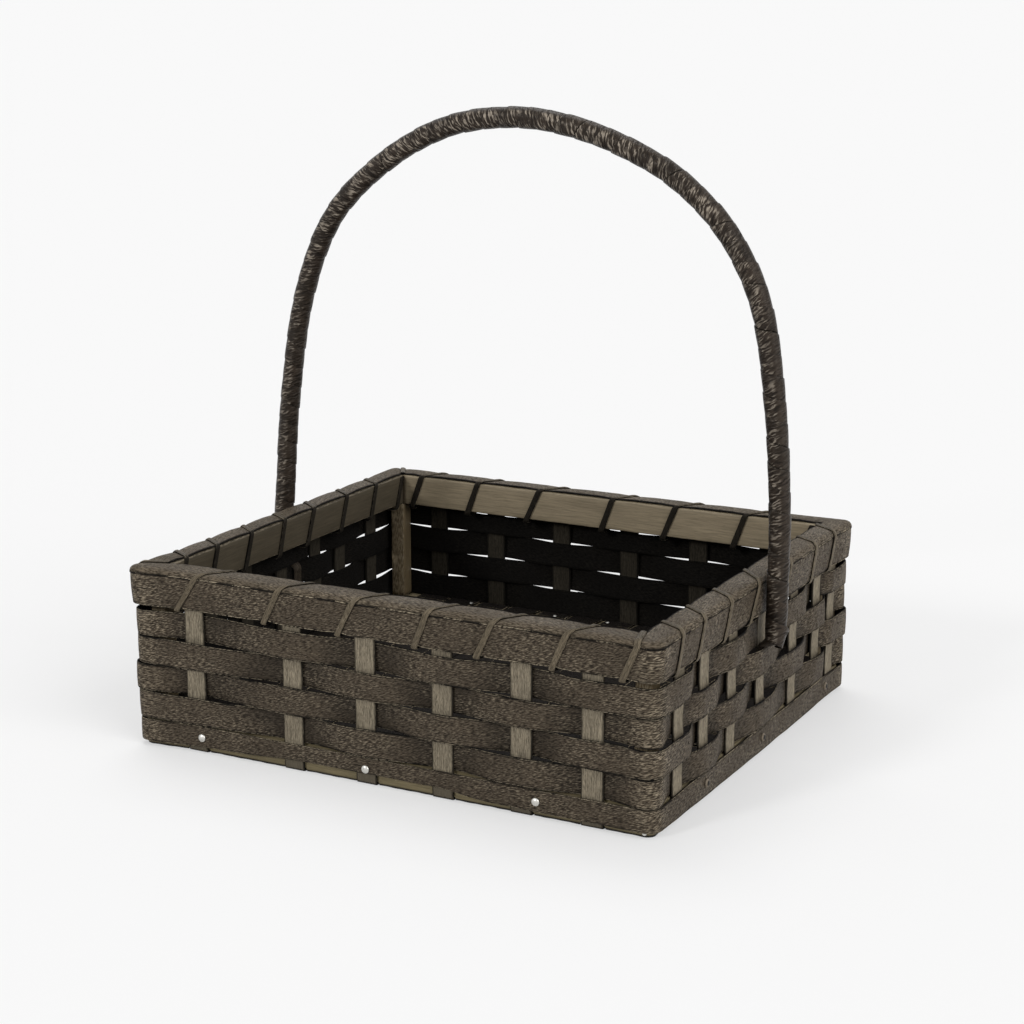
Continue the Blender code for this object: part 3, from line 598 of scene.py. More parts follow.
def splint_stands(family, count, axis, wall):
    """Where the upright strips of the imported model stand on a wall, along that wall."""
    stands = []
    for number in range(1, count + 1):
        high = node_points(f"splint_{family}_{number}", lambda points: (
            (points[:, 2] > 50 * MM) & (points[:, 1 - axis] * wall > 0)))[:, axis]
        stands.append(float((high.min() + high.max()) / 2))
    return stands


SPLINTS = {
    "front": splint_stands("front_rear", 6, 0, -1), "rear": splint_stands("front_rear", 6, 0, 1),
    "right": splint_stands("left_right", 7, 1, 1), "left": splint_stands("left_right", 7, 1, -1),
}


def leg_place(side):
    """Where a leg of the bow stands along the left or right wall."""
    if side == "left":
        end = node_points("handle_core", lambda points: points[:, 0] < ROD_LOW.x + 10 * MM)
    else:
        end = node_points("handle_core", lambda points: points[:, 0] > ROD_HIGH.x - 10 * MM)
    return float(end[:, 1].mean())


def weaver_is_out(side, row, index):
    return (row + index + FIRST_SPLINT_ROWS[side]) % 2 == 0


def strip_piece(name, finish, slot, nodes, *strips):
    """One piece of one or more strips, riding on the body, with what it replaces.

    Its mesh keeps where each corner lies on its strip, for the finishes to read."""
    faces = []
    shift = 0
    for points, strip_faces, _, _ in strips:
        faces += [[number + shift for number in face] for face in strip_faces]
        shift += len(points)
    points, data, rims = [np.concatenate([strip[part] for strip in strips])
                          for part in (0, 2, 3)]
    mesh = bpy.data.meshes.new(name)
    mesh.from_pydata([tuple(point) for point in points], [], faces)
    mesh.polygons.foreach_set("use_smooth", [True] * len(mesh.polygons))
    mesh.materials.append(finish)
    piece = add_to_scene(name, mesh)
    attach(piece, BODY)
    if nodes:
        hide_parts(*nodes)
    for kind, key, values in (("FLOAT_VECTOR", "strip", data), ("FLOAT", "edge", rims)):
        layer = mesh.attributes.new(key, kind, "CORNER")
        layer.data.foreach_set("vector" if key == "strip" else "value",
                               np.asarray(values, np.float32).reshape(-1))


def profile_points(columns, square):
    """Section of a strip: share of its flat width, reach past it, share of its half thickness.
    Square is the share of the half thickness that stays flat at the edges."""
    outer = [(share, 0.0, 1.0) for share in np.linspace(-1, 1, columns)]
    upper = [(1.0, math.sin(angle), square + (1 - square) * math.cos(angle))
             for angle in [QUARTER * step / 3 for step in (1, 2, 3)]]
    lower = [(share, reach, -height) for share, reach, height in reversed(upper)]
    right = upper + (lower if square else lower[1:])
    inner = [(-share, reach, -height) for share, reach, height in outer]
    left = [(-share, -reach, -height) for share, reach, height in right]
    return np.array(outer + right + inner + left)


def tube(rings, runs, across, side, rims, closed=False, flipped=False, end_rim=None):
    """Points, faces, shading data and edge values of a tube through rings of points.

    Runs has one value a ring, and one more if the tube is closed. The other values are for the
    points of a ring or of every ring, and may have one more for the step back to the first."""
    count, size = rings.shape[:2]
    corner = np.arange(size)
    here = np.arange(count if closed else count - 1)[:, None]
    there = (here + 1) % count

    def table(values):
        values = np.broadcast_to(values, (count, max(np.shape(values)[-1], size)))
        return values if values.shape[1] > size else np.hstack((values, values[:, :1]))

    def at_quads(values):
        return np.stack([values[ring, column] for ring, column in (
            (here, corner), (there, corner), (there, corner + 1), (here, corner + 1))], axis=-1)

    across, side, rims = table(across), table(side), table(rims)
    order = -1 if flipped else 1
    numbers = table(corner)
    quads = at_quads(table(np.arange(count)[:, None] * size) + numbers)[..., ::order]
    step_runs = np.stack([runs[here + step] + 0.0 * corner for step in (0, 1, 1, 0)], axis=-1)
    data = np.stack((step_runs, at_quads(across), at_quads(side)), axis=-1)
    data = data[:, :, ::order].reshape(-1, 3)
    edges = at_quads(rims)[..., ::order].reshape(-1)
    faces = quads.reshape(-1, 4).tolist()
    if not closed:
        for ring, turned in ((0, corner[::order]), (count - 1, corner[::-order])):
            faces.append((ring * size + turned).tolist())
            data = np.vstack((data, np.column_stack((
                np.full(size, runs[ring]), across[ring, turned], side[ring, turned]))))
            edges = np.append(edges, rims[ring, turned] if end_rim is None
                              else np.full(size, end_rim))
    return rings.reshape(-1, 3), faces, data, edges


def strip_mesh(path, across, width, thickness, closed=False, crown=0.0, columns=7, edge=0.45,
               start=0.0, square=0.0):
    """A strip swept along a path, as a tube."""
    path = np.asarray(path, float)
    across = unit(np.broadcast_to(np.asarray(across, float), path.shape))
    width = np.broadcast_to(width, (len(path),))[:, None]
    runs = start + measured(path)
    ahead = np.gradient(path, axis=0)
    if closed:
        ahead = np.roll(path, -1, axis=0) - np.roll(path, 1, axis=0)
        runs = np.append(runs, runs[-1] + np.linalg.norm(path[0] - path[-1]))
    normal = unit(np.cross(unit(ahead), across))
    section = profile_points(columns, square)
    radius = thickness * edge
    lateral = section[:, 0] * np.maximum(width / 2 - radius, 1e-6) + section[:, 1] * radius
    height = section[:, 2] * thickness / 2 + crown * (1 - section[:, 0] ** 2)
    rings = (path[:, None] + across[:, None] * lateral[..., None]
             + normal[:, None] * height[:, None])
    return tube(rings, runs, lateral, section[:, 2], np.abs(lateral) / (width / 2), closed,
                end_rim=1.0)


RIM_SWING = 1.4 * MM           # of the hidden row under the rim, out past its splints
# How far in a weaver can swing: to the boards and posts, to the battens, and elsewhere
BOARD_ROOM, BATTEN_ROOM, OPEN_ROOM = 1.8 * MM, 1.55 * MM, 9 * MM
REST_HALF = 4 * MM             # half of the length that lies flat on a splint
# Where a row passes a leg of the bow: half of the length that does, and its reach
OVER_TONGUE, BEHIND_LEG = (4.4 * MM, 4.1 * MM), (5.5 * MM, -0.4 * MM)


def weaver_knots(row, bulge, sway):
    """Runs and outward offsets that a weaver goes through round the basket."""
    draw = np.random.default_rng(70 + row)
    knots = []
    for side in SIDES:
        swing = sway * SIDE_SWAY[side]
        outer = RIM_SWING if row == RIM_ROW else swing
        for index, middle in enumerate(SPLINTS[side]):
            at_post = index in (0, len(SPLINTS[side]) - 1)
            room = (BOARD_ROOM if at_post or row == RIM_ROW
                    else BATTEN_ROOM if row == LOW_ROW else OPEN_ROOM)
            if weaver_is_out(side, row, index):
                reach = outer * draw.uniform(0.95, 1.12)
            else:
                reach = -min(swing, room) * draw.uniform(0.86, 0.98)
            for step in (-REST_HALF, REST_HALF):
                knots.append((WALL.run_at(side, middle + step), reach))
        knots.append((WALL.corner_run(side), bulge * MM))
    if row in (TOP_ROW, TONGUE_ROW):
        for side in ("left", "right"):
            middle = WALL.run_at(side, leg_place(side))
            half, out = OVER_TONGUE if row == TONGUE_ROW else BEHIND_LEG
            knots = [knot for knot in knots if abs(knot[0] - middle) > half + 1.0 * MM]
            knots += [(middle - half, out), (middle + half, out)]
    return knots


def build_weavers():
    """The woven rows: each a strip that goes in and out past the splints and overlaps its start."""
    thickness = sizes().weaver_thickness
    finish = cane_finish("woven strip", colours().strip, inner=0.95)
    for row, (label, placing) in enumerate(ROWS.items()):
        low, high, low_share, high_share, bulge, side, along = placing
        end = WALL.run_at(side, along * MM)
        runs = np.arange(end - WALL.length - OVERLAP, end, HOOP_STEP)
        out = read_knots(weaver_knots(row, bulge, sizes().sway), runs)
        out = out + (thickness + 0.1 * MM) * smooth((runs - end + OVERLAP + OVERLAP_EASE)
                                                    / OVERLAP_EASE)
        lift = read_sides(SEAM_CLIMB, runs)
        low = low * MM + lift * low_share + drift(runs, 21 + row, 0.4 * MM)
        high = high * MM + lift * high_share + drift(runs, 20 + row, 0.4 * MM)
        path, outward = WALL.path(runs, out, low, high)
        tilt = drift(runs, 50 + row, 0.07, (11, 17, 31))
        across = np.column_stack((outward * tilt[:, None], np.ones(len(runs))))
        strip_piece(f"woven_row_{label}", finish, "dark_strip", [f"weaver_{label}"],
                    strip_mesh(pulled(path), across, high - low, thickness, crown=0.22 * MM,
                               start=row * 1.7))


LEG_PUSH = 0.25 * MM           # a weaver's push on a splint
FOOT_HIGH, FOOT_LIFT = 14 * MM, 1.6 * MM       # where a splint starts to turn under the base
FOOT_TURN = 0.35 * MM
CROSSING_HALF = 7 * MM         # half of the length that lies flat on a crossing


def base_crossing(long_index, cross_index):
    """Where a front to rear splint meets a left to right one under the base."""
    front, rear = SPLINTS["front"][long_index], SPLINTS["rear"][long_index]
    left, right = SPLINTS["left"][cross_index], SPLINTS["right"][cross_index]
    lean_x = (rear - front) / (2 * WALL_Y)
    lean_y = (right - left) / (2 * WALL_X)
    y = ((left + right) / 2 + lean_y * (front + rear) / 2) / (1 - lean_x * lean_y)
    return (front + rear) / 2 + lean_x * y, y


def splint_line(long_way, index):
    """Middle line of one U-shaped splint: down a wall, in and out under the base, and up."""
    half, walls = (WALL_Y, ("front", "rear")) if long_way else (WALL_X, ("left", "right"))
    thickness = sizes().splint_thickness
    low = thickness / 2
    legs = []
    for wall in walls:
        leg = [(0.0, SPLINT_TOP)]
        for row, (low_edge, high_edge, *_) in enumerate(ROWS.values()):
            push = LEG_PUSH if weaver_is_out(wall, row, index) else -LEG_PUSH
            middle = (low_edge + high_edge) / 2
            leg += [(push, (middle + step) * MM) for step in (3, -3)]
        leg += [(0.0, FOOT_HIGH), (0.0, low + FOOT_LIFT), (-FOOT_TURN, low + FOOT_TURN),
                (-FOOT_LIFT, low)]
        legs.append(leg)
    line = [(-half - out, height) for out, height in legs[0]]
    for other in range(7 if long_way else 6):
        crossing = base_crossing(index, other) if long_way else base_crossing(other, index)
        run = crossing[1 if long_way else 0]
        raised = (index + other) % 2 == (0 if long_way else 1)
        height = low + (thickness + 0.3 * MM if raised else 0.0)
        line += [(run - CROSSING_HALF, height), (run + CROSSING_HALF, height)]
    line += [(half + out, height) for out, height in reversed(legs[1])]
    start, end = [SPLINTS[wall][index] for wall in walls]
    points = []
    for run, height in line:
        across = start + (end - start) * (run + half) / (2 * half)
        points.append((across, run, height) if long_way else (run, across, height))
    return resampled(rounded(points), 1.6 * MM)


def build_splints():
    """The bare upright strips, each bent under the base and up the far wall."""
    finish = cane_finish("bare splint", colours().splint, pale=0.4, inner=0.85, gloss=0.6,
                         lean=0.03, ridge=0.6, edge_light=0.2, edge_shadow_weight=0.9, fibre=0.85,
                         grain=1.3, depth=0.3, foot=0.85)
    for long_way, family, count, across, start in (
            (True, "front_rear", 6, (1, 0, 0), 7.0), (False, "left_right", 7, (0, -1, 0), 0.0)):
        for index in range(count):
            strip = strip_mesh(pulled(splint_line(long_way, index)), across,
                               sizes().splint_width, sizes().splint_thickness, edge=0.4,
                               start=index * 0.9 + start)
            strip_piece(f"cane_{family}_{index + 1}", finish, "pale_splint",
                        [f"splint_{family}_{index + 1}"], strip)


# Lower edge of the band round the bottom: side, place along it, height
BAND_EDGE = (
    ("front", -130, 3.0), ("front", -91, 4.2), ("front", -52, 6.2), ("front", -15, 6.4),
    ("front", 26, 6.3), ("front", 60, 3.6), ("front", 124, 3.4), ("right", -60, 1.6),
    ("right", 60, 1.2), ("rear", 90, 3.0), ("rear", 0, 4.4), ("rear", -90, 3.4),
    ("left", 60, 2.2), ("left", -60, 2.2),
)
# Middle of the cap's section: out from the walls' middle line, height
CAP_SECTION = [(out * MM, height * MM) for out, height in (
    (-10.4, 97.3), (-9.6, 97.5), (-6.0, 97.55), (-2.0, 97.5), (0.3, 97.35), (1.6, 97.05),
    (2.5, 96.5), (3.05, 95.7), (3.25, 94.8), (3.25, 94.2))]
CAP_STEPS = {"front": 190, "rear": 190, "right": 168, "left": 168}
CAP_CORNER_STEPS = 14
CAP_HALF_THICKNESS = 0.35 * MM
CAP_HALF_WIDTH = 9 * MM
RIM_MIDDLE_OUT, RIM_MIDDLE_HIGH = -4 * MM, 88 * MM


def band_strip(wall, out, low, high, flare, thickness, crown, start, seed, wavers, pull=False):
    """A band bent round all four walls and closed on itself."""
    lean = flare / np.mean(high - low)
    low = low + drift(wall.runs, seed, wavers[0] * MM)
    high = high + drift(wall.runs, seed + 1, wavers[1] * MM)
    out = out + flare / 2 + drift(wall.runs, seed + 2, 0.12 * MM, HOOP_WAVES)
    path, outward = wall.path(wall.runs, out, low, high)
    across = np.column_stack((outward * lean, np.ones(len(path))))
    return strip_mesh(pulled(path) if pull else path, across, high - low, thickness, closed=True,
                      crown=crown, start=start, columns=9)


def offset_ring(out, radius):
    """Places round the walls at an offset, with a set corner radius."""
    places = []
    for turn, side in enumerate(SIDES):
        ahead, normal = axes(turn)
        reach = WALL_HALF[side] + out - radius
        distance = WALL_AWAY[side] + out - radius
        for share in np.linspace(-1, 1, CAP_STEPS[side], endpoint=False):
            places.append(ahead * reach * share + normal * (distance + radius))
        for angle in np.linspace(0, QUARTER, CAP_CORNER_STEPS, endpoint=False):
            turned = normal * math.cos(angle) + ahead * math.sin(angle)
            places.append(ahead * reach + normal * distance + radius * turned)
    return np.array(places)


def lashing_points():
    """Points along every turn of the rim lashing, as a tree for finding the nearest."""
    points = np.vstack([resampled(eased(lashing_line(side)[0], LASHING_BEND), 1.0 * MM)
                        for side in SIDES])
    tree = KDTree(len(points))
    for number, point in enumerate(points):
        tree.insert(Vector(point), number)
    tree.balance()
    return tree


def pinched(strip, tree):
    """A strip of the rim pressed in under the lashing and puffed out between its turns."""
    moved = np.array(strip[0])
    for number, (x, y, z) in enumerate(strip[0]):
        distance = tree.find(Vector((x, y, z)))[2] / MM
        press = -0.55 * math.exp(-(distance / 2.1) ** 2) + 0.45 * min(distance / 9, 1.0) ** 1.3
        gap_x = abs(x) - WALL_X - RIM_MIDDLE_OUT
        gap_y = abs(y) - WALL_Y - RIM_MIDDLE_OUT
        away = np.array((math.copysign(max(gap_x, 0), x), math.copysign(max(gap_y, 0), y),
                         z - RIM_MIDDLE_HIGH))
        moved[number] += unit(away) * press * MM
    return (pulled(moved), *strip[1:])


def cap_strip():
    """The cap: its rolled section carried round the rim, with tight corners inside."""
    sheet = resampled([(out, 0.0, height) for out, height in CAP_SECTION], 0.9 * MM)[:, (0, 2)]
    ahead = unit(np.gradient(sheet, axis=0))
    normal = np.column_stack((-ahead[:, 1], ahead[:, 0])) * CAP_HALF_THICKNESS
    nose = ahead * CAP_HALF_THICKNESS * 0.8
    section = np.vstack((sheet + normal, sheet[-1] + nose[-1], (sheet - normal)[::-1],
                         sheet[0] - nose[0]))
    count = len(sheet)
    width = np.linspace(-1, 1, count)
    shares = np.concatenate((width, (1.0,), width[::-1], (-1.0,)))
    facing = np.concatenate((np.ones(count), (0.0,), -np.ones(count), (0.0,)))
    rings = []
    for out, height in section:
        ring = offset_ring(out, max(6.6 * MM - (CAP_OVERHANG - out) * 1.1, 0.35 * MM))
        ring[:, 2] = height
        rings.append(ring)
    runs = measured(rings[count - 3])
    runs = np.append(runs, runs[-1] + HOOP_STEP) + 41.0
    return tube(np.stack(rings, axis=1), runs, shares * CAP_HALF_WIDTH, facing, np.abs(shares),
                closed=True, flipped=True)


def build_bands():
    """The band round the bottom, the band outside the rim and the cap rolled over it."""
    finish = cane_finish("band strip", colours().strip, inner=0.95, edge_light=0.8,
                         edge_shadow_weight=0.8)
    cap_finish = cane_finish("rim cap", colours().cap, pale=0.6, inner=0.95, lean=0.05,
                             edge_light=0.0, edge_shadow_weight=0.95, fibre=0.8, grain=0.9, depth=0.2)
    lower = band_strip(WALL, 1.5 * MM, read_sides(BAND_EDGE, WALL.runs), 15.1 * MM, 0.0,
                       1.1 * MM, 0.15 * MM, 21.0, 80, (0.3, 0.25), pull=True)
    strip_piece("lower_band", finish, "dark_strip", ["bottom_band"], lower)
    upper = band_strip(Wall(3.2 * MM), 2.25 * MM, BAND_LOW + 0.1 * MM, BAND_TOP - 1.6 * MM,
                       0.9 * MM, 0.9 * MM, 0.2 * MM, 31.0, 90, (0.4, 0.24))
    tree = lashing_points()
    strip_piece("upper_band", finish, "dark_strip", ["rim_band"], pinched(upper, tree))
    strip_piece("rim_cap_roll", cap_finish, "dark_strip", ["rim_cap"], pinched(cap_strip(), tree))


def bar_strip(low, high, across, width, thickness, seed, rough, start):
    """A straight sawn bar with slightly uneven, rounded edges."""
    low, high = np.array(low), np.array(high)
    length = np.linalg.norm(high - low)
    shares = np.linspace(0, 1, max(int(length / (2.5 * MM)), 8))[:, None]
    widths = width - rough * (1 + np.sin(shares[:, 0] * length * 310 + seed)
                              * np.cos(shares[:, 0] * length * 127 + 2 * seed)) / 2
    return strip_mesh(low + (high - low) * shares, across, widths, thickness, edge=0.11,
                      square=0.78, start=start)


RAIL_TOP, RAIL_FOOT = 14 * MM, 0.15 * MM
RAIL_OUT, RAIL_THICKNESS = -1.72 * MM, 1.5 * MM
NOTCH_HIGH, NOTCH_HALF = 1.6 * MM, 6.4 * MM


def rail_strip():
    """Rough face of the base behind the lower band, notched for the splints that turn under it."""
    runs = np.arange(0, WALL.length, 0.5 * MM)
    low = np.full(len(runs), RAIL_FOOT)
    for side in SIDES:
        for middle in SPLINTS[side]:
            away = np.abs(runs - WALL.run_at(side, middle))
            low = np.where(away < NOTCH_HALF, NOTCH_HIGH, low)
    low = low + 0.12 * MM * (1 + np.sin(runs * 530) * np.sin(runs * 211))
    path = WALL.path(runs, np.full(len(runs), RAIL_OUT), low, RAIL_TOP)[0]
    return strip_mesh(pulled(path), (0, 0, 1), RAIL_TOP - low, RAIL_THICKNESS, closed=True,
                      edge=0.3, start=64.0)


def build_frame():
    """The boards inside the rim, the battens of the base and the posts between them."""
    board = wood_finish("rim board", colours().board)
    # A copy of the board stain darkened toward shadow: painted shade on the left board
    shaded_board = wood_finish("rim board in painted shade", toward(colours().board, SHADOW, 0.76))
    batten = wood_finish("base batten", colours().batten, rough=0.8, gloss=0.6)
    post = wood_finish("corner post", colours().post)
    for kind, name, finish, cut in (("rim_board", "board", board, 0.0),
                                    ("base_batten", "batten", batten, 2.6 * MM)):
        for turn, side in enumerate(SIDES):
            node = f"{kind}_{side}"
            low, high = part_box(node)
            middle, span = (low + high) / 2, high - low
            ahead = Vector(axes(turn)[0])
            reach = ahead * (max(span.xy) / 2 - (cut if turn % 2 else 0.0))
            shown = shaded_board if node == "rim_board_left" else finish
            strip_piece(f"{name}_{side}", shown, f"{name}_wood", [node], bar_strip(
                middle - reach, middle + reach, (0, 0, 1), span.z, min(span.xy), turn,
                0.35 * MM, 60 + turn + len(name)))
    strip_piece("base_rail", batten, "batten_wood", [], rail_strip())
    for number, corner in enumerate(("rear_right", "rear_left", "front_left", "front_right")):
        node = f"corner_post_{corner}"
        low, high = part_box(node)
        middle, span = (low + high) / 2, high - low
        strip_piece(f"post_{corner}", post, "post_wood", [node], bar_strip(
            (*middle.xy, low.z), (*middle.xy, high.z), (0, 1, 0), span.y, span.x, number,
            0.2 * MM, 80 + number))


FLOOR_INSET = 11.5 * MM        # of the room inside the walls
FLOOR_LAP = 7 * MM             # reach of a strip's ends past that room
FLOOR_LIFT, FLOOR_WEAVE = 0.7 * MM, 1.0 * MM   # over the battens, and over a crossing
FLOOR_REST = 4 * MM            # half of the length that lies flat on a crossing
FLOOR_GAP, FLOOR_THICKNESS = 1.6 * MM, 0.8 * MM


def build_floor():
    """Thin glossy strips woven over the battens, with pale worn edges."""
    finish = cane_finish("floor strip", colours().floor, pale=0.08, inner=0.6, gloss=0.45,
                         ridge=0.3, edge_light=0.7, edge_shadow_weight=0.6, fibre=0.3, shine=0.02,
                         depth=0.0)
    pitch = sizes().floor_pitch
    inner = [half - FLOOR_INSET for half in (WALL_X, WALL_Y)]
    counts = [int(2 * (half - 1.0 * MM) / pitch) for half in inner]
    low = BATTEN_TOP + FLOOR_LIFT
    for axis, name, node, node_count in ((0, "floor_weave_across", "floor_strip_x", 4),
                                         (1, "floor_weave_along", "floor_strip_y", 5)):
        laid, crossed = counts[1 - axis], counts[axis]
        reach = inner[axis] + FLOOR_LAP
        strips = []
        for index in range(laid):
            offset = (index - (laid - 1) / 2) * pitch
            line = [(-reach, low)]
            for other in range(crossed):
                middle = (other - (crossed - 1) / 2) * pitch
                height = low + (FLOOR_WEAVE if (index + other + axis) % 2 == 0 else 0.0)
                line += [(middle - FLOOR_REST, height), (middle + FLOOR_REST, height)]
            line.append((reach, low))
            points = [(offset, run, height) if axis else (run, offset, height)
                      for run, height in line]
            strips.append(strip_mesh(resampled(rounded(points), 2.0 * MM),
                                     (-1, 0, 0) if axis else (0, 1, 0), pitch - FLOOR_GAP,
                                     FLOOR_THICKNESS, crown=0.2 * MM,
                                     start=100 + index * 0.6 + axis * 13))
        strip_piece(name, finish, "floor_strip",
                    [f"{node}_{number}" for number in range(1, node_count + 1)], *strips)


# Middle line of the bow above the rim: share of its half span, share of its rise
BOW_SHARES = (
    (-1.0, -0.02), (-0.990, 0.06), (-0.961, 0.27), (-0.891, 0.531), (-0.756, 0.739),
    (-0.532, 0.881), (-0.270, 0.972), (0.0, 1.0), (0.240, 0.981), (0.465, 0.930),
    (0.641, 0.863), (0.801, 0.757), (0.916, 0.607), (0.974, 0.385), (1.0, 0.15), (1.0, -0.02),
)
# Swing of a leg from its tongue to the rim: share of the way out, share of the way up
SHOULDER_SHARES = ((0.0, 0.0), (0.30, 0.10), (0.76, 0.27), (0.97, 0.55))
BOW_HALF_SPAN, BOW_CROWN = 155.95 * MM, 323.85 * MM
TONGUE_HIGH, SHOULDER_LOW = 59.4 * MM, 60.2 * MM
TONGUE_OUT = 2.1 * MM          # past the walls' middle line
TONGUE_THIN, TONGUE_WIDE = 1.2 * MM, 3.4 * MM
ROD_RADIUS = 4.0 * MM
ROD_SIDES = 24
ROD_ARC_RADIUS = 5 * MM        # for the rod's finish
CURVE_STEPS = 40
WRAP_RADIUS = 5.25 * MM
WRAP_LOW = 62 * MM
WRAP_STEPS = 32                # sections in one turn
WRAP_THICKNESS = 0.55 * MM
WRAP_FILL = 0.75 * MM          # by which the wrapped part of the rod is thicker


def curve_through(knots):
    """Fine points on a smooth curve through the knots."""
    knots = np.array(knots)
    ends = np.vstack((2 * knots[0] - knots[1], knots, 2 * knots[-1] - knots[-2]))
    fine = []
    for index in range(1, len(ends) - 2):
        before, start, end, after = ends[index - 1:index + 3]
        for step in range(CURVE_STEPS):
            t = step / CURVE_STEPS
            fine.append(0.5 * (2 * start + (end - before) * t
                               + (2 * before - 5 * start + 4 * end - after) * t ** 2
                               + (3 * start - before - 3 * end + after) * t ** 3))
    fine.append(ends[-2])
    return np.array(fine)


def bow_knots():
    """Knots of the handle rod: x, height, half thickness, half width."""
    tongue_x = WALL_X + TONGUE_OUT
    knots = [(tongue_x, height, TONGUE_THIN, TONGUE_WIDE)
             for height in (ROD_LOW.z, (ROD_LOW.z + 2 * TONGUE_HIGH) / 3)]
    for out, up in SHOULDER_SHARES:
        knots.append((tongue_x + (BOW_HALF_SPAN - tongue_x) * out,
                      SHOULDER_LOW + (BAND_LOW - SHOULDER_LOW) * up,
                      TONGUE_THIN + (ROD_RADIUS - TONGUE_THIN) * out,
                      TONGUE_WIDE + (ROD_RADIUS - TONGUE_WIDE) * out))
    left = [(-x, *rest) for x, *rest in knots]
    bow = [(BOW_HALF_SPAN * across, RIM_TOP + (BOW_CROWN - RIM_TOP) * up, ROD_RADIUS, ROD_RADIUS)
           for across, up in BOW_SHARES]
    return left + bow + knots[::-1]


class Bow:
    """Middle line of the handle, read by the distance along it."""

    def __init__(self):
        fine = curve_through(bow_knots())
        left, right = leg_place("left"), leg_place("right")
        across = (left + right) / 2 + (right - left) * fine[:, 0] / (2 * BOW_HALF_SPAN)
        self.places = np.column_stack((fine[:, 0], across, fine[:, 1]))
        self.halves = fine[:, 2:]
        self.runs = measured(self.places)
        span = self.places[-1] - self.places[0]
        self.flat = unit(np.array((-span[1], span[0], 0.0)))

    def at(self, runs):
        """Places, directions ahead and outward, and half sizes for many runs."""
        places, later, sooner = [read_table(runs + step * MM, self.runs, self.places)
                                 for step in (0, 1, -1)]
        ahead = unit(later - sooner)
        return places, ahead, np.cross(ahead, self.flat), read_table(runs, self.runs, self.halves)


def build_handle():
    """The bow's rod with its flattened ends, and the strip wound round it."""
    bow = Bow()
    rod = cane_finish("handle rod", toward(colours().handle, colours().board, 0.06), pale=0.2,
                      inner=0.0, edge_light=0.0, edge_shadow_weight=0.0, depth=0.0)
    runs = np.arange(0, bow.runs[-1], 1.2 * MM)
    places, _, outward, halves = bow.at(runs)
    angles = 2 * math.pi * np.arange(ROD_SIDES + 1) / ROD_SIDES
    turned = angles[:-1]
    fill = np.clip((places[:, 2] - WRAP_LOW) / (10 * MM), 0, 1)[:, None]
    radii = halves + smooth(fill) * WRAP_FILL
    rough = 1 + 0.03 * np.sin(turned * 7) * fill
    rings = (places[:, None]
             + outward[:, None] * (radii[:, :1] * np.cos(turned) * rough)[..., None]
             + bow.flat * (radii[:, 1:] * np.sin(turned) * rough)[..., None])
    strip_piece("handle_rod", rod, "handle_core", ["handle_core"],
                tube(rings, runs, angles * ROD_ARC_RADIUS, np.ones(ROD_SIDES),
                     np.zeros(ROD_SIDES), flipped=True))

    wrapped = bow.runs[bow.places[:, 2] > WRAP_LOW]
    pitch = sizes().wrap_pitch
    start, end = wrapped.min() + pitch / 2, wrapped.max() - pitch / 2
    shares = np.arange(0, (end - start) / pitch, 1 / WRAP_STEPS)
    middle = start + shares * pitch + 0.8 * MM * np.sin(shares * 1.7) * np.sin(shares * 0.63)
    angle = 2 * math.pi * shares
    places, ahead, outward, halves = bow.at(middle)
    normal = outward * np.cos(angle)[:, None] + bow.flat * np.sin(angle)[:, None]
    radius = WRAP_RADIUS - ROD_RADIUS + 0.10 * MM * np.sin(angle * 0.37)
    path = (places + outward * ((halves[:, 0] + radius) * np.cos(angle))[:, None]
            + bow.flat * ((halves[:, 1] + radius) * np.sin(angle))[:, None])
    points, faces, data, rims = strip_mesh(path, -ahead + normal * 0.03, pitch * 1.06,
                                           WRAP_THICKNESS, crown=0.12 * MM, columns=13)
    steps, run, across = measured(path), data[:, 0].copy(), data[:, 1].copy()
    data[:, 0] = np.interp(run, steps, middle) - across
    data[:, 1] = np.interp(run, steps, angle) * WRAP_RADIUS
    strip_piece("handle_winding", wrap_finish("handle wrap", colours().handle), "handle_cane",
                ["handle_wrap"], (points, faces, data, rims))


# Passes of the rim lashing under the rim. The whole number counts the splints from the start of
# the wall, and the rest is the share of the way to the next one or to the corner.
LASHING_SHARES = {
    "front": (6.75, 5.45, 4.46, 3.67, 2.66, 1.74, 0.59),
    "rear": (0.32, 1.64, 2.57, 3.69, 4.58, 5.58, 6.65),
    "right": (6.50, 5.50, 4.50, 3.40, 2.50, 1.50, 0.41),
    "left": (0.42, 1.52, 2.50, 3.49, 4.30, 5.41, 6.50, 7.60),
}
# How a turn shares its advance: up the inside, over the cap
LASHING_STEPS = {"front": (0.50, 0.27), "rear": (0.20, 0.28), "right": (0.44, 0.34),
                 "left": (0.24, 0.34)}
# Outer faces that the lashing lies on: out from the walls' middle line, and height
LASHING_INNER, LASHING_HIGH_OUT, LASHING_LOW_OUT = -11.1 * MM, 3.55 * MM, 2.75 * MM
LASHING_TOP, LASHING_UNDER = RIM_TOP - 0.45 * MM, 76.4 * MM
LASHING_HALF = 0.4 * MM
LASHING_BEND = 2.5 * MM
LASHING_STEP = 0.7 * MM        # between two of its sections
# The lashing's stretch from here inward gets painted shade
SHADED_INSIDE = 10.6 * MM     # from here inward, in from the walls' middle line, it is dark


def place_between(side, share):
    """Place on a wall counted in splints, from the corner at its start."""
    corner = WALL_HALF[side] - 11 * MM
    stops = [-corner] + SPLINTS[side] + [corner]
    slot = min(int(share), len(stops) - 2)
    return stops[slot] + (stops[slot + 1] - stops[slot]) * (share - slot)


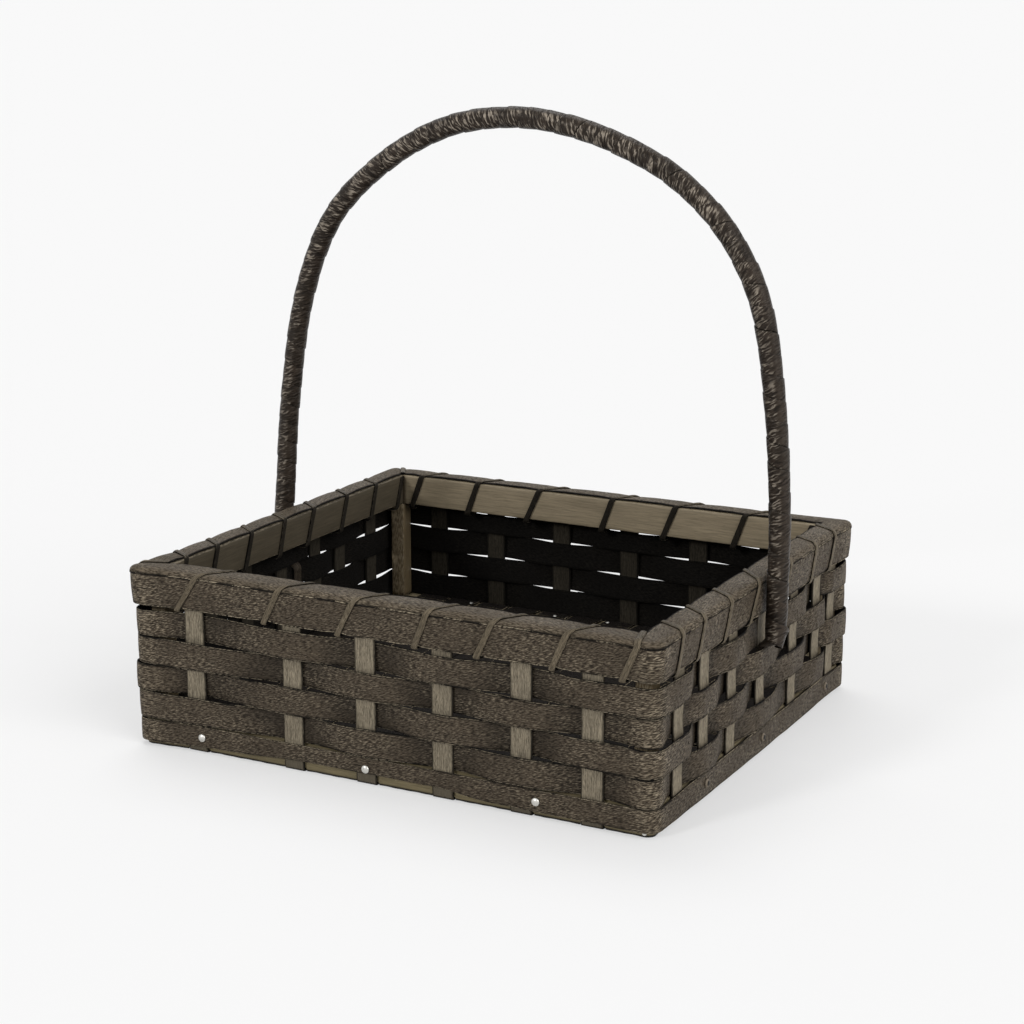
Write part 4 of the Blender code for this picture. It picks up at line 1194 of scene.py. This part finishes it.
def lashing_line(side):
    """Middle line of the strip wound round one wall's rim, and the wall's direction."""
    forward, out = axes(SIDES.index(side))

    def spot(along, outward, height):
        place = abs(forward) * along + out * (WALL_AWAY[side] + outward)
        place[2] = height
        return place

    def held(along, limit):
        return max(-limit, min(limit, along))

    inner, under = LASHING_INNER - LASHING_HALF, LASHING_UNDER
    outer_high, outer_low = LASHING_HIGH_OUT + LASHING_HALF, LASHING_LOW_OUT + LASHING_HALF
    top = LASHING_TOP + LASHING_HALF
    up, over = LASHING_STEPS[side]
    stops = [place_between(side, share) for share in LASHING_SHARES[side]]
    limit = WALL_HALF[side] + inner
    stops = [2 * stops[0] - stops[1]] + stops
    points = []
    for start, following in zip(stops, stops[1:]):
        step = following - start
        first = held(start + step * up, limit)
        edge = held(start + step * (up + over), limit + 9 * MM)
        if points:
            points.append(spot(start, inner, under))
        points += [
            spot(first, inner, top),
            spot(first + (edge - first) * 0.8, outer_high - 2.6 * MM, top - 0.1 * MM),
            spot(edge, outer_high, top - 2.4 * MM),
            spot(edge + (following - edge) * 0.6, outer_low + 0.4 * MM, 84 * MM),
            spot(following, outer_low, under)]
    points += [spot(stops[-1], inner, under),
               spot(held(stops[-1] + step * up, limit), inner, top - 2 * MM)]
    return points, forward


def build_lashing():
    """The narrow peel strip wound over the rim, one length for each wall."""
    finish = cane_finish("rim lashing", colours().lashing, pale=0.4, inner=0.9, gloss=0.45,
                         lean=0.03, ridge=0.6, edge_light=0.8, fibre=0.6, grain=1.5)
    for number, side in enumerate(SIDES):
        points, forward = lashing_line(side)
        path = resampled(eased(points, LASHING_BEND), LASHING_STEP)
        on_top = smooth((path[:, 2] - 97 * MM) / (1.5 * MM))
        widths = (sizes().lashing_width * (1 - 0.16 * on_top)
                  + 0.16 * MM * np.sin(np.arange(len(path)) * LASHING_STEP * 260 + number))
        points, faces, data, rims = strip_mesh(pulled(path), forward, widths,
                                               2 * LASHING_HALF, crown=0.22 * MM,
                                               start=140 + number)
        away = np.abs(points[:, 0 if number % 2 else 1])
        # Marks the lashing's inner stretch as an inner face, so that it gets painted shade
        data[away[np.concatenate(faces)] < WALL_AWAY[side] - SHADED_INSIDE, 2] = -0.4
        strip_piece(f"lashing_{side}", finish, "binding_cane", [f"rim_binding_{side}"],
                    (points, faces, data, rims))


NAIL_OUT = 2.25 * MM           # seat of a nail's head, out from the walls' middle line
NAIL_RADIUS, NAIL_HEIGHT, NAIL_SHANK = 2.2 * MM, 1.35 * MM, 5 * MM
SMALL_RADIUS, SMALL_SHANK = 1.3 * MM, 3 * MM
CORNER_NAIL = (141.6 * MM, -WALL_Y - 0.2 * MM, 2.6 * MM)
FLOOR_NAILS = ((-86, 116), (-28, 115), (6, 117), (-112, 60), (-113, -8))    # in mm
DOME_SIDES = 22


def dome(centre, direction, radius, height, shank):
    """A round nail: a domed head on a thin shank."""
    direction = unit(np.array(direction, float))
    aside = unit(np.cross(direction, (0.0, 0.0, 1.0) if abs(direction[2]) < 0.9 else (1.0, 0, 0)))
    upward = np.cross(direction, aside)
    # Each ring: height and radius, as shares of the head's, and its value for the finish
    shank_share = shank / height
    profile = [(-shank_share, 0.05, 1.0), (-shank_share * 0.7, 0.34, 1.0), (0.0, 0.36, 1.0),
               (-0.03, 0.90, 1.0), (0.05, 1.0, 1.0), (0.22, 1.0, 0.55)]
    profile += [(0.22 + 0.78 * math.sin(angle), math.cos(angle), 0.38 * math.cos(angle))
                for angle in np.linspace(0.18, QUARTER - 0.06, 8)]
    angles = 2 * math.pi * np.arange(DOME_SIDES) / DOME_SIDES
    rings = np.array([[np.asarray(centre) + direction * rise * height
                       + radius * size * (aside * math.cos(angle) + upward * math.sin(angle))
                       for angle in angles] for rise, size, _ in profile])
    none = np.zeros(len(rings))
    return tube(rings, none, none[:1], none[:1], np.array(profile)[:, 2:], flipped=True)


def build_nails():
    """The dome headed nails of the lower band, one at the corner, and small ones in the floor."""
    bright = steel_finish("nail steel", colours().steel, 0.95)
    dull = steel_finish("dull nail", colours().dull_nail, 0.0, dark_head=1.0, shine=0.08)
    for turn, side in enumerate(SIDES):
        out = axes(turn)[1]
        spread = 0 if turn % 2 else 1
        for number in (1, 2, 3):
            node = f"nail_{side}_{number}"
            low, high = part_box(node)
            middle = np.array((low + high) / 2)
            middle[spread] = out[spread] * (WALL_AWAY[side] + NAIL_OUT)
            strip_piece(f"dome_{side}_{number}", dull if turn % 2 else bright, "nail_steel",
                        [node], dome(middle, out, NAIL_RADIUS, NAIL_HEIGHT, NAIL_SHANK))
    small = [(CORNER_NAIL, (0.2, -1, 0), 1.1 * MM)]
    small += [((x * MM, y * MM, BATTEN_TOP + 2.3 * MM), (0, 0, 1), SMALL_RADIUS)
              for x, y in FLOOR_NAILS]
    strip_piece("small_nails", bright, "nail_steel", [],
                *[dome(*nail, nail[2] * 0.55, SMALL_SHANK) for nail in small])


BACKDROP = 0.945               # brightness of the floor and backdrop in the picture
WORLD_LIGHT = 0.34
FLOOR_REACH = 40.0
FLOOR_GLOW, FLOOR_MATT = 0.47, 0.46
# Soft lamps far away: direction towards each, how wide it looks in degrees, and its strength
LAMPS = {
    "front lamp": ((-0.42, -1.0, 0.50), 12, 0.95),
    "side lamp": ((1.0, -0.30, 0.65), 50, 1.7),
    "top lamp": ((-0.5, 0.6, 1.5), 40, 1.0),
}
CAMERA_PLACE = (0.5331, -1.0098, 0.3951)
CAMERA_DOWN, CAMERA_TURN = 13.81, 27.69        # degrees
CAMERA_LENS, CAMERA_SENSOR = 76.62, 36         # mm


def floor_finish():
    """Pale studio floor: near white in the picture, with the object's soft shadow on it."""
    finish = Finish("studio floor")
    finish.constant(Base_Color=shade((0.78,) * 3), Roughness=0.9, Specular_IOR_Level=0.0)
    glow = finish.add("ShaderNodeEmission", sockets={
        "Color": shade((1.0,) * 3), "Strength": FLOOR_GLOW})
    matt = finish.add("ShaderNodeBsdfDiffuse", sockets={"Color": shade((FLOOR_MATT,) * 3)})
    shown = finish.add("ShaderNodeAddShader", sockets={0: glow, 1: matt})
    plain = Value(finish, finish.shader.outputs[0])
    finish.feed(finish.nodes["Material Output"], "Surface", finish.add(
        "ShaderNodeMixShader", sockets={0: finish.background_rays(), 1: plain, 2: shown}))
    return finish.block


def add_to_scene(name, data):
    """Object in the scene for a mesh, a lamp or the camera."""
    item = bpy.data.objects.new(name, data)
    bpy.context.scene.collection.objects.link(item)
    return item


def build_stage():
    """Pale floor, backdrop, soft lamps and the camera."""
    scene = bpy.context.scene
    mesh = bpy.data.meshes.new("studio floor")
    mesh.from_pydata([(x * FLOOR_REACH, y * FLOOR_REACH, 0)
                      for x, y in ((-1, -1), (1, -1), (1, 1), (-1, 1))], [], [(0, 1, 2, 3)])
    mesh.materials.append(floor_finish())
    add_to_scene("studio_floor", mesh)

    scene.world = bpy.data.worlds.new("studio")
    sky = NodeTree(scene.world, "Background")
    sky.link("Color", sky.mix(sky.background_rays(), shade((WORLD_LIGHT,) * 3),
                              shade((BACKDROP,) * 3)))
    for name, (toward_lamp, spread, strength) in LAMPS.items():
        lamp = bpy.data.lights.new(name, "SUN")
        lamp.angle = math.radians(spread)
        lamp.energy = strength
        turned = Vector(toward_lamp).to_track_quat("Z", "Y").to_euler()
        add_to_scene(name, lamp).rotation_euler = turned

    camera = bpy.data.cameras.new("camera")
    camera.lens = CAMERA_LENS
    camera.sensor_width = CAMERA_SENSOR
    camera.sensor_fit = "HORIZONTAL"
    camera.clip_end = 100
    scene.camera = add_to_scene("camera", camera)
    scene.camera.location = CAMERA_PLACE
    scene.camera.rotation_euler = (math.radians(90 - CAMERA_DOWN), 0, math.radians(CAMERA_TURN))
    scene.view_settings.view_transform = "Standard"


class BASKET_OT_stage(bpy.types.Operator):
    """Sets the floor, the backdrop, the lamps and the camera"""
    bl_idname = "basket.stage"
    bl_label = "Stage"

    def execute(self, context):
        build_stage()
        return {"FINISHED"}


class BASKET_OT_splints(bpy.types.Operator):
    """Bends the upright splints under the base"""
    bl_idname = "basket.splints"
    bl_label = "Splints"

    def execute(self, context):
        build_splints()
        return {"FINISHED"}


class BASKET_OT_weavers(bpy.types.Operator):
    """Weaves the rows of the walls"""
    bl_idname = "basket.weavers"
    bl_label = "Woven rows"

    def execute(self, context):
        build_weavers()
        return {"FINISHED"}


class BASKET_OT_bands(bpy.types.Operator):
    """Bends the lower band, the upper band and the cap of the rim"""
    bl_idname = "basket.bands"
    bl_label = "Bands and cap"

    def execute(self, context):
        build_bands()
        return {"FINISHED"}


class BASKET_OT_frame(bpy.types.Operator):
    """Saws the rim boards, the base battens and the corner posts"""
    bl_idname = "basket.frame"
    bl_label = "Boards and posts"

    def execute(self, context):
        build_frame()
        return {"FINISHED"}


class BASKET_OT_floor(bpy.types.Operator):
    """Weaves the floor strips"""
    bl_idname = "basket.floor"
    bl_label = "Floor"

    def execute(self, context):
        build_floor()
        return {"FINISHED"}


class BASKET_OT_handle(bpy.types.Operator):
    """Bends the handle's rod and winds its wrap"""
    bl_idname = "basket.handle"
    bl_label = "Handle"

    def execute(self, context):
        build_handle()
        return {"FINISHED"}


class BASKET_OT_lashing(bpy.types.Operator):
    """Winds the lashing round the rim"""
    bl_idname = "basket.lashing"
    bl_label = "Rim lashing"

    def execute(self, context):
        build_lashing()
        return {"FINISHED"}


class BASKET_OT_nails(bpy.types.Operator):
    """Drives the nails"""
    bl_idname = "basket.nails"
    bl_label = "Nails"

    def execute(self, context):
        build_nails()
        return {"FINISHED"}


STEPS = (BASKET_OT_stage, BASKET_OT_splints, BASKET_OT_weavers, BASKET_OT_bands,
         BASKET_OT_frame, BASKET_OT_floor, BASKET_OT_handle, BASKET_OT_lashing,
         BASKET_OT_nails)


class BASKET_PT_pieces(bpy.types.Panel):
    """Lists the basket's sizes, colours and building steps"""
    bl_idname = "BASKET_PT_pieces"
    bl_label = "Cane gift basket"
    bl_space_type = "VIEW_3D"
    bl_region_type = "UI"
    bl_category = "Basket"

    def draw(self, context):
        for group in (sizes(), colours()):
            box = self.layout.box()
            for key in group.__annotations__:
                box.prop(group, key)
        for step in STEPS:
            self.layout.operator(step.bl_idname)


CLASSES = (BasketSizes, BasketColours, *STEPS, BASKET_PT_pieces)


def register():
    for one in CLASSES:
        bpy.utils.register_class(one)
    bpy.types.Scene.basket_sizes = bpy.props.PointerProperty(type=BasketSizes)
    bpy.types.Scene.basket_colours = bpy.props.PointerProperty(type=BasketColours)


def unregister():
    del bpy.types.Scene.basket_colours
    del bpy.types.Scene.basket_sizes
    for one in reversed(CLASSES):
        bpy.utils.unregister_class(one)


def main():
    register()
    bpy.ops.basket.stage()
    bpy.ops.basket.splints()
    bpy.ops.basket.weavers()
    bpy.ops.basket.bands()
    bpy.ops.basket.frame()
    bpy.ops.basket.floor()
    bpy.ops.basket.handle()
    bpy.ops.basket.lashing()
    bpy.ops.basket.nails()


if __name__ == "__main__":
    main()
